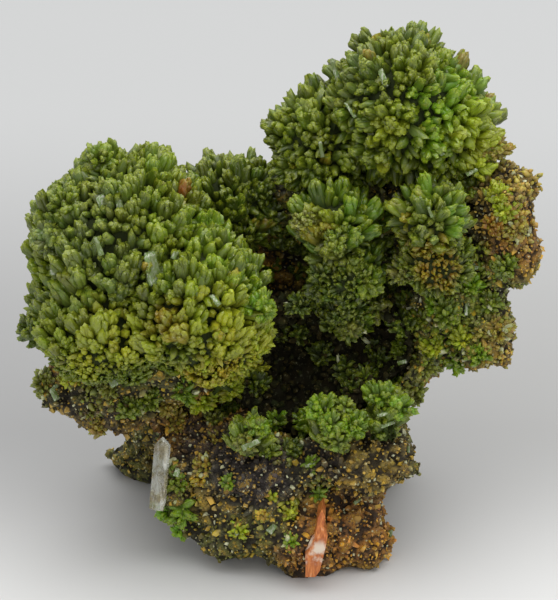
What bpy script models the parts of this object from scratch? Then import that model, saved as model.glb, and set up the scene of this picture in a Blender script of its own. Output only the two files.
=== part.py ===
"""A pyromorphite specimen: balls and sprays of barrel-shaped crystals on a piece of rusty matrix.

The rock stands on a broad front foot and two rear feet, each with a flat contact face at z = 0.
X runs to the right and Y to the back, as the specimen is seen from its crystal side. Sizes are in
millimetres, and each mesh is moved and scaled to metres as it is finished.
"""

import math
import random

import bmesh
import bpy
from mathutils import Matrix, Vector, noise
from mathutils.bvhtree import BVHTree

MM = 0.001

# The shapes below are laid out about a point under the hollow. The middle of the finished
# specimen's box lies here, and is the part's origin.
ORIGIN = (0.93, 13.05, 0.0)

# Driving dimensions
ROCK_GAP = 0.5  # clearance round the rock, with room for what thinning a cut body moves its cut
CORE_SHARE = 0.77  # a ball's solid core over the reach of its crystal tips
ENVELOPE_MARGIN = 0.5  # a neighbour's crystals are kept this far outside a ball's tips
BARREL = 1.08  # a crystal's width at its shoulder over that at its root
SHOULDER_SHARE = 0.62  # height of that shoulder over the height of the tip
CRYSTAL_SIDES = 6
COARSE, ROUND = 2, 3  # subdivisions of a ball of 80 and of 320 flats
FLAT_SHARE = 0.92  # depth of an 80-flat ball's flats over its radius
LEAST_CRYSTALS = 10  # on the smallest ball
CELL_AREA = 0.87  # area that one crystal takes, over the square of the spacing
WOBBLE = 0.09  # how far a crystal strays from even spacing, over the ball's radius
ON_BALL = 0.999  # points further out than this share of the radius lie on the ball
SHORTEST_CRYSTAL = 0.8  # height of the shortest crystals over that of the longest
BURIED = 0.93  # a crystal whose tip is within this share of another lobe's reach is left out
GOLDEN_ANGLE = math.pi * (3 - math.sqrt(5))

# Lumps that the matrix is built from: centre and half sizes
MATRIX_LUMPS = [
    ((3.5, 1.5, 4.5), (7.5, 7.6, 8.5)),  # front foot, left half
    ((10.2, 3.6, 5.0), (6.8, 6.4, 8.5)),  # front foot, right half
    ((12.0, 3.5, 17.0), (8.0, 8.5, 6.4)),  # shoulder over the foot
    ((-2.0, 6.0, 14.0), (13.0, 9.5, 9.0)),  # body under the hollow
    ((-12.0, 7.5, 13.0), (6.8, 7.5, 8.5)),  # left end of the body
    ((-5.0, 3.0, 7.6), (9.5, 7.6, 6.4)),  # underside of the body
    ((-12.8, 5.0, 10.4), (6.2, 6.6, 5.8)),  # lower left end
    ((-24.2, 11.0, 23.8), (12.2, 8.6, 4.8)),  # ledge under the left ball
    ((-18.0, 9.0, 29.0), (12.5, 8.0, 6.0)),  # seat of the left ball
    ((-20.3, 26.6, 5.5), (4.8, 5.2, 9.0)),  # rear left leg
    ((-17.0, 22.0, 15.0), (7.5, 7.5, 7.0)),  # root of that leg
    ((12.5, 25.0, 5.0), (7.5, 6.5, 8.0)),  # rear right heel
    ((4.0, 17.0, 13.0), (16.0, 11.0, 9.5)),  # floor block
    ((-8.0, 25.5, 30.0), (15.5, 7.0, 19.0)),  # back wall, left
    ((0.5, 25.0, 46.0), (9.0, 6.0, 8.5)),  # back wall, middle
    ((13.0, 25.5, 36.0), (15.0, 7.5, 22.0)),  # back wall, right
    ((26.5, 16.0, 37.0), (7.5, 9.0, 10.5)),  # right wall
    ((29.0, 12.6, 33.8), (6.0, 7.4, 6.8)),  # its lower front corner
    ((20.5, 15.0, 31.5), (6.0, 7.0, 6.5)),  # its lower end by the hollow
    ((17.8, 13.0, 25.5), (4.6, 6.5, 5.8)),  # lip that joins it to the body
    ((32.3, 13.0, 49.0), (4.6, 7.0, 11.0)),  # crusted right edge
    ((25.5, 19.0, 52.0), (7.0, 7.5, 7.0)),  # seat of the right dome
    ((10.0, 20.5, 50.0), (9.0, 6.0, 8.0)),  # wall behind the front spray
]
MATRIX_VOXEL = 1.1
MATRIX_ROUGHNESS = 1.25
KNOB_PITCH, LEDGE_PITCH = 6.25, 4.17  # spacing of the rock's knobs and of its stepped ledges
KNOB_SHARE, LEDGE_SHARE, SETTLE_SHARE = 0.75, 0.9, 0.5  # heights of each, and how far both sink
MATRIX_TRIANGLES = 1150
CRYSTALS_KEPT = 0.72  # share of a crystal body's triangles left once its seams are thinned
FOOT_SINK = 12.0  # depth of the block that cuts the feet flat
BLOCK_SIZE = 200.0  # side of a cutting block, wider than the specimen

# The hollow between the balls: centre and radius of each of its chambers
CAVITY = [((3.0, 9.5, 28.0), 11.6), ((12.6, 11.0, 31.0), 7.6), ((-5.4, 10.0, 30.6), 7.6)]
CRUST_THICKNESS = 1.2
CRUST_GAP = 0.36  # clearance between the crust and the rock that backs it
CRUST_FRONT = 9.0  # the crust lies behind this depth
CRUST_CRYSTAL_HEIGHT = 2.0
CRUST_TAPER = 0.72  # a crust crystal's width at its shoulder over that at its root
CRUST_SPACING = 5.4
CRUST_SEED = 67

# Crystal balls and sprays: for each, its lobes as centre and reach of the crystal tips, then the
# spacing of its crystals and their random seed
CLUSTERS = {
    "left_crystal_ball": {
        "lobes": [
            ((-21.9, 10.0, 48.5), 14.5),
            ((-12.6, 4.5, 43.4), 12.3),
            ((-24.6, 7.0, 39.8), 12.3),
            ((-9.8, 5.5, 36.8), 9.2),
        ],
        "spacing": 6.3,
        "seed": 11,
    },
    "right_crystal_dome": {
        "lobes": [
            ((17.2, 17.2, 66.4), 12.2),
            ((7.2, 19.0, 60.0), 9.3),
            ((23.8, 16.0, 63.8), 9.2),
        ],
        "spacing": 5.6,
        "seed": 23,
    },
    "front_crystal_spray": {
        "lobes": [((8.3, 9.0, 52.3), 7.1), ((9.8, 9.0, 44.4), 6.2), ((9.8, 12.4, 37.2), 5.6)],
        "spacing": 4.5,
        "seed": 31,
    },
    "right_crystal_spray": {
        "lobes": [((21.4, 6.5, 54.6), 6.8), ((22.3, 7.6, 46.8), 6.2)],
        "spacing": 4.5,
        "seed": 37,
    },
    "middle_crystal_ball": {
        "lobes": [((-7.2, 22.0, 48.9), 8.5)],
        "spacing": 5.0,
        "seed": 41,
    },
    "ledge_cluster_left": {
        "lobes": [((-4.4, -1.8, 23.8), 3.6)],
        "spacing": 3.5,
        "seed": 43,
    },
    "ledge_cluster_middle": {
        "lobes": [((8.0, -1.0, 25.2), 4.3)],
        "spacing": 3.8,
        "seed": 47,
    },
    "ledge_cluster_right": {
        "lobes": [((15.2, 0.6, 26.2), 4.0)],
        "spacing": 3.7,
        "seed": 53,
    },
    "lower_green_bud": {
        "lobes": [((-14.2, 0.0, 9.0), 3.0)],
        "spacing": 3.1,
        "seed": 59,
    },
}

# Two single splinters of other minerals: foot end, free end, half width and half thickness
SPLINTERS = {
    "pale_prism": ((-17.6, -1.2, 10.6), (-16.6, 1.4, 21.2), 1.25, 0.9),
    "orange_splinter": ((4.6, -5.9, 1.8), (6.3, -5.6, 13.0), 1.25, 0.8),
}

# Linear colour and roughness of each finish
MATERIALS = {
    "pyromorphite": ((0.115, 0.17, 0.028, 1), 0.38),
    "matrix": ((0.12, 0.075, 0.03, 1), 0.85),
    "cavity_crust": ((0.035, 0.04, 0.015, 1), 0.6),
    "pale_prism": ((0.45, 0.42, 0.33, 1), 0.3),
    "orange_splinter": ((0.55, 0.2, 0.06, 1), 0.5),
}


def clear_scene():
    for obj in list(bpy.data.objects):
        bpy.data.objects.remove(obj)


def make_materials():
    made = {}
    for name, (colour, roughness) in MATERIALS.items():
        material = bpy.data.materials.new(name)
        material.use_nodes = True
        shader = material.node_tree.nodes["Principled BSDF"]
        shader.inputs["Base Color"].default_value = colour
        shader.inputs["Roughness"].default_value = roughness
        shader.inputs["Metallic"].default_value = 0.0
        made[name] = material
    return made


def mesh_of(bm, name):
    """The bmesh as a mesh with its faces pointing out. It frees the bmesh."""
    bmesh.ops.recalc_face_normals(bm, faces=bm.faces)
    mesh = bpy.data.meshes.new(name)
    bm.to_mesh(mesh)
    bm.free()
    return mesh


def new_object(name, mesh, collection):
    obj = bpy.data.objects.new(name, mesh)
    collection.objects.link(obj)
    return obj


def as_helper(obj):
    obj.hide_render = True
    obj.display_type = "WIRE"
    return obj


def helper_object(name, mesh, collection):
    return as_helper(new_object(name, mesh, collection))


def apply_modifiers(obj):
    """Replaces the object's mesh with its evaluated one and drops the modifiers."""
    graph = bpy.context.evaluated_depsgraph_get()
    mesh = bpy.data.meshes.new_from_object(obj.evaluated_get(graph), depsgraph=graph)
    obj.modifiers.clear()
    obj.data = mesh
    return obj


def boolean(obj, other, operation):
    """Cuts or joins with the exact solver. The meshes may be made of overlapping closed shapes."""
    modifier = obj.modifiers.new(operation.lower(), "BOOLEAN")
    modifier.operation = operation
    modifier.object = other
    modifier.solver = "EXACT"
    modifier.use_self = True
    return apply_modifiers(obj)


def mend(obj):
    """Triangulates the body and collapses the short edges along which it touches itself."""
    bm = bmesh.new()
    bm.from_mesh(obj.data)
    bmesh.ops.triangulate(bm, faces=bm.faces)
    touching = [edge for edge in bm.edges if len(edge.link_faces) > 2]
    while touching:
        bmesh.ops.collapse(bm, edges=touching)
        bmesh.ops.dissolve_degenerate(bm, edges=bm.edges, dist=0.001)
        bmesh.ops.triangulate(bm, faces=bm.faces)
        touching = [edge for edge in bm.edges if len(edge.link_faces) > 2]
    bm.to_mesh(obj.data)
    bm.free()
    return obj


def thin(obj, share):
    """Collapses the shortest and flattest edges until this share of the triangles is left."""
    modifier = obj.modifiers.new("thin", "DECIMATE")
    modifier.ratio = share
    modifier.use_collapse_triangulate = True
    return apply_modifiers(obj)


def islands(bm):
    """The connected groups of faces of a bmesh."""
    left = set(bm.faces)
    groups = []
    while left:
        stack = [left.pop()]
        group = list(stack)
        while stack:
            face = stack.pop()
            for edge in face.edges:
                for near in edge.link_faces:
                    if near in left:
                        left.remove(near)
                        group.append(near)
                        stack.append(near)
        groups.append(group)
    return groups


def keep_largest(obj):
    """Drops chips that a cut has freed, so that the object is one body."""
    bm = bmesh.new()
    bm.from_mesh(obj.data)
    groups = sorted(islands(bm), key=lambda group: sum(face.calc_area() for face in group))
    chips = [face for group in groups[:-1] for face in group]
    bmesh.ops.delete(bm, geom=chips, context="FACES")
    bm.to_mesh(obj.data)
    bm.free()
    return obj


def add_ball(bm, centre, half_sizes, subdivisions):
    scale = Matrix.Diagonal((*half_sizes, 1.0))
    bmesh.ops.create_icosphere(
        bm, subdivisions=subdivisions, radius=1.0, matrix=Matrix.Translation(centre) @ scale
    )


def ball_meshes(name, lobes, growth, subdivisions):
    """A ball for each lobe, larger than it by the growth."""
    meshes = []
    for centre, reach in lobes:
        bm = bmesh.new()
        add_ball(bm, centre, (reach + growth,) * 3, subdivisions)
        meshes.append(mesh_of(bm, name))
    return meshes


def fused(name, meshes, collection, helpers):
    """One object from overlapping closed meshes, joined one after another."""
    obj = new_object(name, meshes[0], collection)
    if collection == helpers:
        as_helper(obj)
    for mesh in meshes[1:]:
        boolean(obj, helper_object(name + "_lobe", mesh, helpers), "UNION")
    return obj


def sphere_points(count):
    """Evenly spread directions, by the golden angle."""
    for i in range(count):
        z = 1 - (2 * i + 1) / count
        flat = math.sqrt(1 - z * z)
        yield Vector((flat * math.cos(GOLDEN_ANGLE * i), flat * math.sin(GOLDEN_ANGLE * i), z))


def inside(tree, point):
    """Whether a point lies inside the closed mesh of a BVH tree."""
    hit, normal, _, _ = tree.find_nearest(point)
    return (point - hit).dot(normal) < 0


def crystal_ball_mesh(name, centre, core, height, spacing, widening, rng, bare):
    """A faceted ball with a crystal on each of its facets, a barrel with a low point.

    The facets are the polygons round evenly spread points. A negative height grows the crystals
    into the ball, and a crystal whose tip is bare, by the given test, is left out.
    """
    centre = Vector(centre)
    ball = bmesh.new()
    count = max(LEAST_CRYSTALS, round(4 * math.pi * core**2 / (CELL_AREA * spacing**2)))
    for direction in sphere_points(count):
        wobble = Vector([rng.uniform(-WOBBLE, WOBBLE) for _ in range(3)])
        ball.verts.new(centre + (direction + wobble).normalized() * core)
    bmesh.ops.convex_hull(ball, input=ball.verts)
    bmesh.ops.subdivide_edges(ball, edges=ball.edges, cuts=1, use_grid_fill=True)
    middles = [vert for vert in ball.verts if (vert.co - centre).length > ON_BALL * core]
    bmesh.ops.dissolve_verts(ball, verts=middles)
    facets = [face for face in ball.faces if len(face.verts) > 3]
    outward = {}
    for face in facets:
        direction = (face.calc_center_median() - centre).normalized()
        if not bare(centre + direction * (core + height)):
            outward[face] = direction
    for top in bmesh.ops.extrude_discrete_faces(ball, faces=list(outward))["faces"]:
        middle = top.calc_center_median()
        direction = (middle - centre).normalized()
        rise = height * rng.uniform(SHORTEST_CRYSTAL, 1.0)
        place = Matrix.Translation(middle + direction * rise * SHOULDER_SHARE)
        swell = place @ Matrix.Scale(widening, 4) @ Matrix.Translation(-middle)
        bmesh.ops.transform(ball, matrix=swell, verts=top.verts)
        point = bmesh.ops.poke(ball, faces=[top])["verts"]
        bmesh.ops.translate(ball, vec=direction * rise * (1 - SHOULDER_SHARE), verts=point)
    return mesh_of(ball, name)


def build_matrix(collection, helpers):
    """The rock: lumps fused by a voxel remesh, roughened, thinned, hollowed and cut flat below."""
    bm = bmesh.new()
    for centre, half_sizes in MATRIX_LUMPS:
        add_ball(bm, centre, half_sizes, ROUND)
    obj = new_object("matrix", mesh_of(bm, "matrix"), collection)
    remesh = obj.modifiers.new("fuse", "REMESH")
    remesh.mode = "VOXEL"
    remesh.voxel_size = MATRIX_VOXEL
    apply_modifiers(obj)
    for vert, normal in [(v, v.normal.copy()) for v in obj.data.vertices]:
        knobs = KNOB_SHARE * noise.hetero_terrain(vert.co / KNOB_PITCH, 0.6, 2.1, 4, 0.4)
        ledges = LEDGE_SHARE * (noise.cell(vert.co / LEDGE_PITCH) - 0.5)
        vert.co += normal * MATRIX_ROUGHNESS * (knobs + ledges - SETTLE_SHARE)
    thin(obj, MATRIX_TRIANGLES / (2 * len(obj.data.polygons)))

    hollow = fused("cavity_cutter", ball_meshes("cavity_cutter", CAVITY, 0.0, COARSE), helpers, helpers)
    boolean(obj, hollow, "DIFFERENCE")
    boolean(obj, block("floor_cutter", (0, 0, -FOOT_SINK / 2), FOOT_SINK, helpers), "DIFFERENCE")
    return keep_largest(obj)


def block(name, centre, height, helpers):
    """A cutting block wider than the specimen."""
    bm = bmesh.new()
    place = Matrix.Translation(centre) @ Matrix.Diagonal((BLOCK_SIZE, BLOCK_SIZE, height, 1))
    bmesh.ops.create_cube(bm, size=1.0, matrix=place)
    return helper_object(name, mesh_of(bm, name), helpers)


def grown_copy(obj, by, helpers):
    """A cutter that is the object swollen by the clearance."""
    cutter = helper_object(obj.name + "_cutter", obj.data.copy(), helpers)
    swell = cutter.modifiers.new("swell", "DISPLACE")
    swell.mid_level = 0.0
    swell.strength = by
    return apply_modifiers(cutter)


def build_cluster(name, design, matrix_tree, cutters, collection, helpers):
    """Balls of crystals fused into one body, cut back from what they grow against."""
    rng = random.Random(design["seed"])
    spacing = CORE_SHARE * design["spacing"]
    meshes = []
    for centre, reach in design["lobes"]:
        others = [lobe for lobe in design["lobes"] if lobe[0] != centre]

        def bare(tip):
            buried = any((tip - Vector(other)).length < BURIED * far for other, far in others)
            return buried or inside(matrix_tree, tip)

        core = CORE_SHARE * reach
        meshes.append(crystal_ball_mesh(name, centre, core, reach - core, spacing, BARREL, rng, bare))
    obj = fused(name, meshes, collection, helpers)
    for cutter in cutters:
        boolean(obj, cutter, "DIFFERENCE")
    return mend(thin(mend(keep_largest(obj)), CRYSTALS_KEPT))


def build_crust(cutters, collection, helpers):
    """The lining of the hollow: a thin shell of its chambers with crystals that point inwards."""
    rng = random.Random(CRUST_SEED)

    def in_front(tip):
        return tip.y < CRUST_FRONT + CRUST_CRYSTAL_HEIGHT

    obj = fused("cavity_crust", ball_meshes("cavity_crust", CAVITY, -CRUST_GAP, COARSE), collection, helpers)
    centre, reach = CAVITY[0]
    core = FLAT_SHARE * (reach - CRUST_GAP) - CRUST_THICKNESS
    height = -CRUST_CRYSTAL_HEIGHT
    rooms = [crystal_ball_mesh("crust_room", centre, core, height, CRUST_SPACING, CRUST_TAPER, rng, in_front)]
    rooms += ball_meshes("crust_room", CAVITY[1:], -CRUST_GAP - CRUST_THICKNESS, COARSE)
    boolean(obj, fused("crust_room", rooms, helpers, helpers), "DIFFERENCE")
    front = (0, CRUST_FRONT - BLOCK_SIZE / 2, 0)
    boolean(obj, block("crust_front", front, BLOCK_SIZE, helpers), "DIFFERENCE")
    for cutter in cutters:
        boolean(obj, cutter, "DIFFERENCE")
    return mend(thin(mend(keep_largest(obj)), CRYSTALS_KEPT))


def build_splinter(name, design, cutters, collection):
    """A flattened six-sided blade with a low point, cut back from what it lies against."""
    foot, tip, half_width, half_thickness = design
    along = Vector(tip) - Vector(foot)
    shoulder = along.length - half_width
    bm = bmesh.new()
    place = Matrix.Translation((0, 0, shoulder / 2))
    bmesh.ops.create_cone(
        bm,
        cap_ends=True,
        segments=CRYSTAL_SIDES,
        radius1=half_width,
        radius2=half_width,
        depth=shoulder,
        matrix=place,
    )
    end = max(bm.faces, key=lambda face: face.calc_center_median().z)
    point = bmesh.ops.poke(bm, faces=[end])["verts"]
    bmesh.ops.translate(bm, vec=(0, 0, half_width), verts=point)
    flatten = Matrix.Diagonal((1.0, half_thickness / half_width, 1.0, 1.0))
    stand = along.to_track_quat("Z", "Y").to_matrix().to_4x4()
    bmesh.ops.transform(bm, matrix=Matrix.Translation(foot) @ stand @ flatten, verts=bm.verts)
    obj = new_object(name, mesh_of(bm, name), collection)
    for cutter in cutters:
        boolean(obj, cutter, "DIFFERENCE")
    return keep_largest(obj)


def finish(obj, material):
    """Gives the piece its material and takes it to metres, about the specimen's origin."""
    obj.data.transform(Matrix.Scale(MM, 4) @ Matrix.Translation(-Vector(ORIGIN)))
    obj.data.materials.clear()
    obj.data.materials.append(material)


def main():
    clear_scene()
    materials = make_materials()
    specimen = bpy.data.collections.new("pyromorphite_specimen")
    helpers = bpy.data.collections.new("cutters")
    for collection in (specimen, helpers):
        bpy.context.scene.collection.children.link(collection)

    matrix = build_matrix(specimen, helpers)
    matrix_tree = BVHTree.FromObject(matrix, bpy.context.evaluated_depsgraph_get())
    matrix_cutter = grown_copy(matrix, ROCK_GAP, helpers)

    pieces = [(matrix, "matrix")]
    envelopes = []
    for name, design in CLUSTERS.items():
        obj = build_cluster(name, design, matrix_tree, [matrix_cutter, *envelopes], specimen, helpers)
        pieces.append((obj, "pyromorphite"))
        envelope = name + "_envelope"
        meshes = ball_meshes(envelope, design["lobes"], ENVELOPE_MARGIN, ROUND)
        envelopes.append(fused(envelope, meshes, helpers, helpers))
    pieces.append((build_crust(envelopes, specimen, helpers), "cavity_crust"))
    for name, design in SPLINTERS.items():
        obj = build_splinter(name, design, [matrix_cutter, *envelopes], specimen)
        pieces.append((obj, name))

    for obj, material in pieces:
        finish(obj, materials[material])


main()
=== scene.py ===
"""The looks of the pyromorphite specimen: bundled barrel crystals, fine crusts, rock, light and camera."""
import math

import bmesh
import bpy
import numpy as np
from mathutils import Matrix, Vector, noise
from mathutils.bvhtree import BVHTree
from mathutils.kdtree import KDTree


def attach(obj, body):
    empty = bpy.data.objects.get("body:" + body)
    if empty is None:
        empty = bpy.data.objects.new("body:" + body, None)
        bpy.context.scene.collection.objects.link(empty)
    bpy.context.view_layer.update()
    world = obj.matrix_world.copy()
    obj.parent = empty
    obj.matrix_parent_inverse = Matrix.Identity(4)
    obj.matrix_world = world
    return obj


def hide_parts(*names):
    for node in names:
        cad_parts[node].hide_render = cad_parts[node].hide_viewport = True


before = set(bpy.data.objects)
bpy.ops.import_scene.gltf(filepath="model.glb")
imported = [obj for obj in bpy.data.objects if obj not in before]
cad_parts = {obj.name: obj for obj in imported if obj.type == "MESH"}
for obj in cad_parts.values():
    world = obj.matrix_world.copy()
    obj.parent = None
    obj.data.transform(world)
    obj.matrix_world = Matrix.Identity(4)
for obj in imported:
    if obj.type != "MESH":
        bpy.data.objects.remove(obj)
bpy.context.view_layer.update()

# Lengths are in millimetres. Places on the specimen are too, and place() turns them into metres in
# the frame, whose origin lies at FRAME_ORIGIN among them.
MM = 0.001
FRAME_ORIGIN = np.array((0.93, 13.05, 0.0))
SEED = 7

# The photograph's view: its middle pixel looks at VIEW_TARGET from VIEW_DISTANCE away.
PHOTO_WIDTH, PHOTO_HEIGHT = 558, 600
PIXEL = 0.1434 * MM
VIEW_TARGET = Vector((-0.93, -3.05, 38.8)) * MM
VIEW_ELEVATION = math.radians(28)
VIEW_DISTANCE = 0.5
SENSOR = 36.0


def paint(red, green, blue):
    """A colour as seen on a screen, 0 to 255, as linear light."""
    seen = np.array((red, green, blue)) / 255
    return np.where(seen < 0.04045, seen / 12.92, ((seen + 0.055) / 1.055) ** 2.4)


# Crystal greens and their stains, the dark greens of painted shade, and cream for painted glints
DEEP_OLIVE = paint(66, 82, 18)
OLIVE = paint(98, 116, 26)
GREY_OLIVE = paint(94, 110, 54)
GRASS = paint(104, 136, 22)
FRESH_GREEN = paint(118, 166, 34)
YELLOW_GREEN = paint(160, 170, 36)
BRIGHT_YELLOW = paint(186, 188, 50)
HONEY = paint(184, 146, 42)
RUST = paint(168, 92, 34)
OCHRE = paint(166, 122, 36)
CREAM = paint(214, 216, 176)
# painted shade: dark greens for the gaps and roots between crystals and for the core under them
SHADE_GREEN = paint(30, 38, 12)
CORE_SHADE_GREEN = paint(54, 66, 22)
PALE_GREEN = paint(140, 170, 96)
# Rock and crust
PURPLE_BLACK = paint(58, 50, 50)
# dark brown for painted shade in pits and at grains' roots, and for dark specks of the rock
PIT_SHADE_AND_SPECKS = paint(30, 24, 18)
DARK_BROWN = paint(84, 70, 42)
GOLDEN = paint(150, 126, 56)
ORANGE_BROWN = paint(166, 112, 44)
GREEN_BROWN = paint(104, 106, 44)
# painted shade for the hollow
HOLLOW_SHADE = paint(34, 36, 18)

# Clusters: lobes close to the solids' (centre, reach), finger radius at the bottom (thin) and the top
# (stout), the heights between which it changes, how far fingers lean upwards (lift), the pitch of
# their sheaves, the room between fingers where it isn't FINGER_SPACING, their ground colour, and in
# how many pieces the cluster is made.
CLUSTERS = {
    "left_crystal_ball": {
        "parts": 2,
        "lobes": [
            ((-21.9, 10.0, 48.5), 14.5),
            ((-12.6, 4.5, 43.4), 12.3),
            ((-24.6, 7.0, 39.8), 12.3),
            ((-9.8, 5.5, 36.8), 9.2),
        ],
        "thin": 0.58, "stout": 1.5, "low": 33, "high": 44, "lift": 1.0, "sheaf": 8.0, "tint": OLIVE,
    },
    "right_crystal_dome": {
        "lobes": [
            ((17.2, 17.2, 66.4), 12.2),
            ((6.4, 19.0, 60.0), 9.7),
            ((23.8, 16.0, 63.8), 9.2),
        ],
        "thin": 0.85, "stout": 1.42, "low": 53, "high": 60, "lift": 0.3, "sheaf": 7.5, "tint": OLIVE * 0.88,
    },
    "middle_crystal_ball": {
        "lobes": [((-7.2, 22.0, 48.9), 8.5)],
        "thin": 0.95, "stout": 1.35, "low": 44, "high": 52, "lift": 0.7, "sheaf": 6.0, "tint": OLIVE * 0.8,
    },
    "front_crystal_spray": {
        "lobes": [
            ((8.3, 9.0, 52.3), 7.1),
            ((9.8, 9.0, 44.4), 6.2),
            ((9.8, 12.4, 37.2), 5.6),
        ],
        "thin": 0.66, "stout": 1.4, "low": 44, "high": 52, "lift": 0.8,
        "sheaf": 4.0, "room": 1.75, "tint": GRASS * 0.8,
    },
    "right_crystal_spray": {
        "lobes": [((21.4, 6.5, 54.6), 6.8), ((22.3, 7.6, 46.8), 6.2)],
        "thin": 0.6, "stout": 1.3, "low": 48, "high": 55, "lift": 0.6,
        "sheaf": 4.0, "room": 1.7, "tint": OLIVE * 0.85,
    },
    "ledge_cluster_left": {
        "lobes": [((-4.4, -1.8, 23.8), 3.6)],
        "thin": 0.75, "stout": 1.0, "low": 20, "high": 25, "lift": 0.9, "sheaf": 3.2, "tint": OLIVE,
    },
    "ledge_cluster_middle": {
        "lobes": [((8.0, -1.0, 24.7), 4.0)],
        "thin": 0.8, "stout": 1.25, "low": 21, "high": 27, "lift": 0.9, "sheaf": 3.4, "tint": OLIVE * 0.85,
    },
    "ledge_cluster_right": {
        "lobes": [((15.2, 0.6, 25.8), 3.8)],
        "thin": 0.8, "stout": 1.25, "low": 22, "high": 28, "lift": 0.9, "sheaf": 3.2, "tint": OLIVE * 0.85,
    },
    "lower_green_bud": {
        "lobes": [((-14.2, 0.0, 9.0), 3.0)],
        "thin": 0.7, "stout": 0.85, "low": 7, "high": 11, "lift": -0.1, "sheaf": 2.8, "tint": GRASS,
    },
}

# Patches of colour on the crystals: photo pixel at the middle, reach in millimetres, colour, strength
CRYSTAL_PATCHES = [
    # The left ball, duller on its upper left and brighter on its right: partly its own colour, partly painted
    # light and shade as from the right
    ((75, 200), 9.0, GREY_OLIVE * 0.85, 0.7),  # dull upper left of the left ball
    ((45, 275), 6.0, OLIVE, 0.7),
    ((110, 260), 7.0, GREY_OLIVE, 0.6),
    ((140, 190), 6.0, OLIVE, 0.6),
    ((215, 230), 7.0, GRASS, 0.5),  # its brighter right side
    ((245, 290), 7.0, GRASS, 0.6),
    ((215, 315), 7.0, YELLOW_GREEN, 0.9),
    ((235, 350), 8.0, BRIGHT_YELLOW, 0.8),
    ((60, 350), 6.0, YELLOW_GREEN, 0.4),
    ((110, 340), 6.5, BRIGHT_YELLOW, 0.6),
    ((84, 360), 3.0, BRIGHT_YELLOW, 0.8),
    ((148, 345), 3.0, BRIGHT_YELLOW, 0.9),
    ((165, 318), 4.0, OCHRE, 0.5),
    ((205, 375), 6.0, BRIGHT_YELLOW, 0.8),
    ((196, 372), 2.6, HONEY, 0.9),
    ((229, 362), 2.4, HONEY, 0.8),
    # painted shade in the dark gaps between crystals
    ((178, 336), 2.2, SHADE_GREEN, 0.6),  # dark gaps
    ((126, 356), 1.6, SHADE_GREEN, 0.6),
    ((184, 186), 2.2, RUST, 0.9),  # a rusty finger near its top
    ((228, 175), 12.0, DEEP_OLIVE, 0.7),  # middle ball
    # The dome, duller on its top and left and fresher green on its right: partly its own colour, partly painted
    # light and shade as from the right
    ((345, 70), 7.0, GREY_OLIVE * 0.85, 0.6),  # dull top and left of the dome
    ((300, 110), 8.0, OLIVE, 0.7),
    ((375, 35), 2.0, HONEY, 0.6),
    ((418, 25), 1.8, HONEY, 0.6),
    ((470, 105), 8.0, FRESH_GREEN, 0.8),  # its fresh green right flank
    ((426, 98), 3.0, FRESH_GREEN, 0.9),
    ((450, 118), 3.5, FRESH_GREEN, 0.9),
    ((440, 150), 5.0, GRASS, 0.8),
    ((490, 130), 7.0, YELLOW_GREEN, 0.8),
    ((385, 130), 4.0, YELLOW_GREEN, 0.5),
    ((386, 164), 2.0, BRIGHT_YELLOW, 0.7),
    ((300, 160), 7.0, DEEP_OLIVE, 0.6),  # front spray, dark green above
    ((360, 185), 4.0, GRASS, 0.7),
    ((315, 225), 4.0, OCHRE, 0.5),  # and ochre knobs below
    # painted shade on the lower front spray, over the shaded inner wall
    ((335, 270), 6.0, DEEP_OLIVE, 0.9),
    ((325, 300), 8.0, CORE_SHADE_GREEN, 0.6),
    ((325, 310), 6.0, DEEP_OLIVE, 0.95),
    ((410, 185), 4.0, GRASS, 0.8),
    ((395, 222), 2.4, OCHRE, 0.7),
    ((460, 215), 4.0, FRESH_GREEN, 0.7),
    ((433, 231), 3.0, GREY_OLIVE, 0.8),
    ((430, 252), 4.0, HONEY, 0.6),
    ((440, 275), 4.0, OCHRE, 0.7),
    # painted shade on the rim's clusters
    ((312, 418), 3.0, DEEP_OLIVE, 0.8),  # shaded parts of the rim's clusters
    ((345, 428), 3.0, DEEP_OLIVE, 0.7),
    ((252, 436), 2.4, GREEN_BROWN, 0.8),
    ((372, 420), 3.0, DEEP_OLIVE, 0.6),
    ((330, 255), 5.0, GREEN_BROWN, 0.6),
    ((345, 240), 3.0, DEEP_OLIVE, 0.8),
]
# Patches of colour on the rock and its crusts
ROCK_PATCHES = [
    ((330, 545), 9.5, ORANGE_BROWN, 0.95),  # rusty foot
    ((390, 530), 7.0, ORANGE_BROWN, 0.9),
    ((375, 460), 6.0, GOLDEN, 0.8),
    ((330, 450), 4.0, PURPLE_BLACK, 0.9),
    ((250, 470), 9.0, PURPLE_BLACK, 0.95),  # purple-black middle
    ((200, 440), 5.0, PURPLE_BLACK, 0.8),
    ((200, 505), 4.0, GOLDEN, 0.7),
    ((270, 530), 4.0, GREEN_BROWN, 0.7),
    ((515, 190), 8.0, GOLDEN, 0.95),  # golden right edge
    ((520, 240), 7.0, ORANGE_BROWN, 0.7),
    ((505, 300), 7.0, GREEN_BROWN, 0.8),
    ((500, 350), 6.0, GOLDEN, 0.8),
    ((430, 345), 7.0, GREEN_BROWN, 0.9),
    ((460, 320), 5.0, GRASS, 0.6),
    ((90, 400), 8.0, DARK_BROWN, 0.9),  # slab under the left ball
    ((90, 375), 6.0, GREEN_BROWN, 0.9),
    ((200, 400), 5.0, OCHRE, 0.7),
    ((330, 470), 4.0, DARK_BROWN, 0.9),
    ((395, 440), 5.0, DARK_BROWN, 0.7),
    ((130, 435), 5.0, GREEN_BROWN, 0.8),
    ((350, 405), 6.0, GRASS, 0.6),
    ((250, 425), 4.0, GRASS, 0.6),
]

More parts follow.
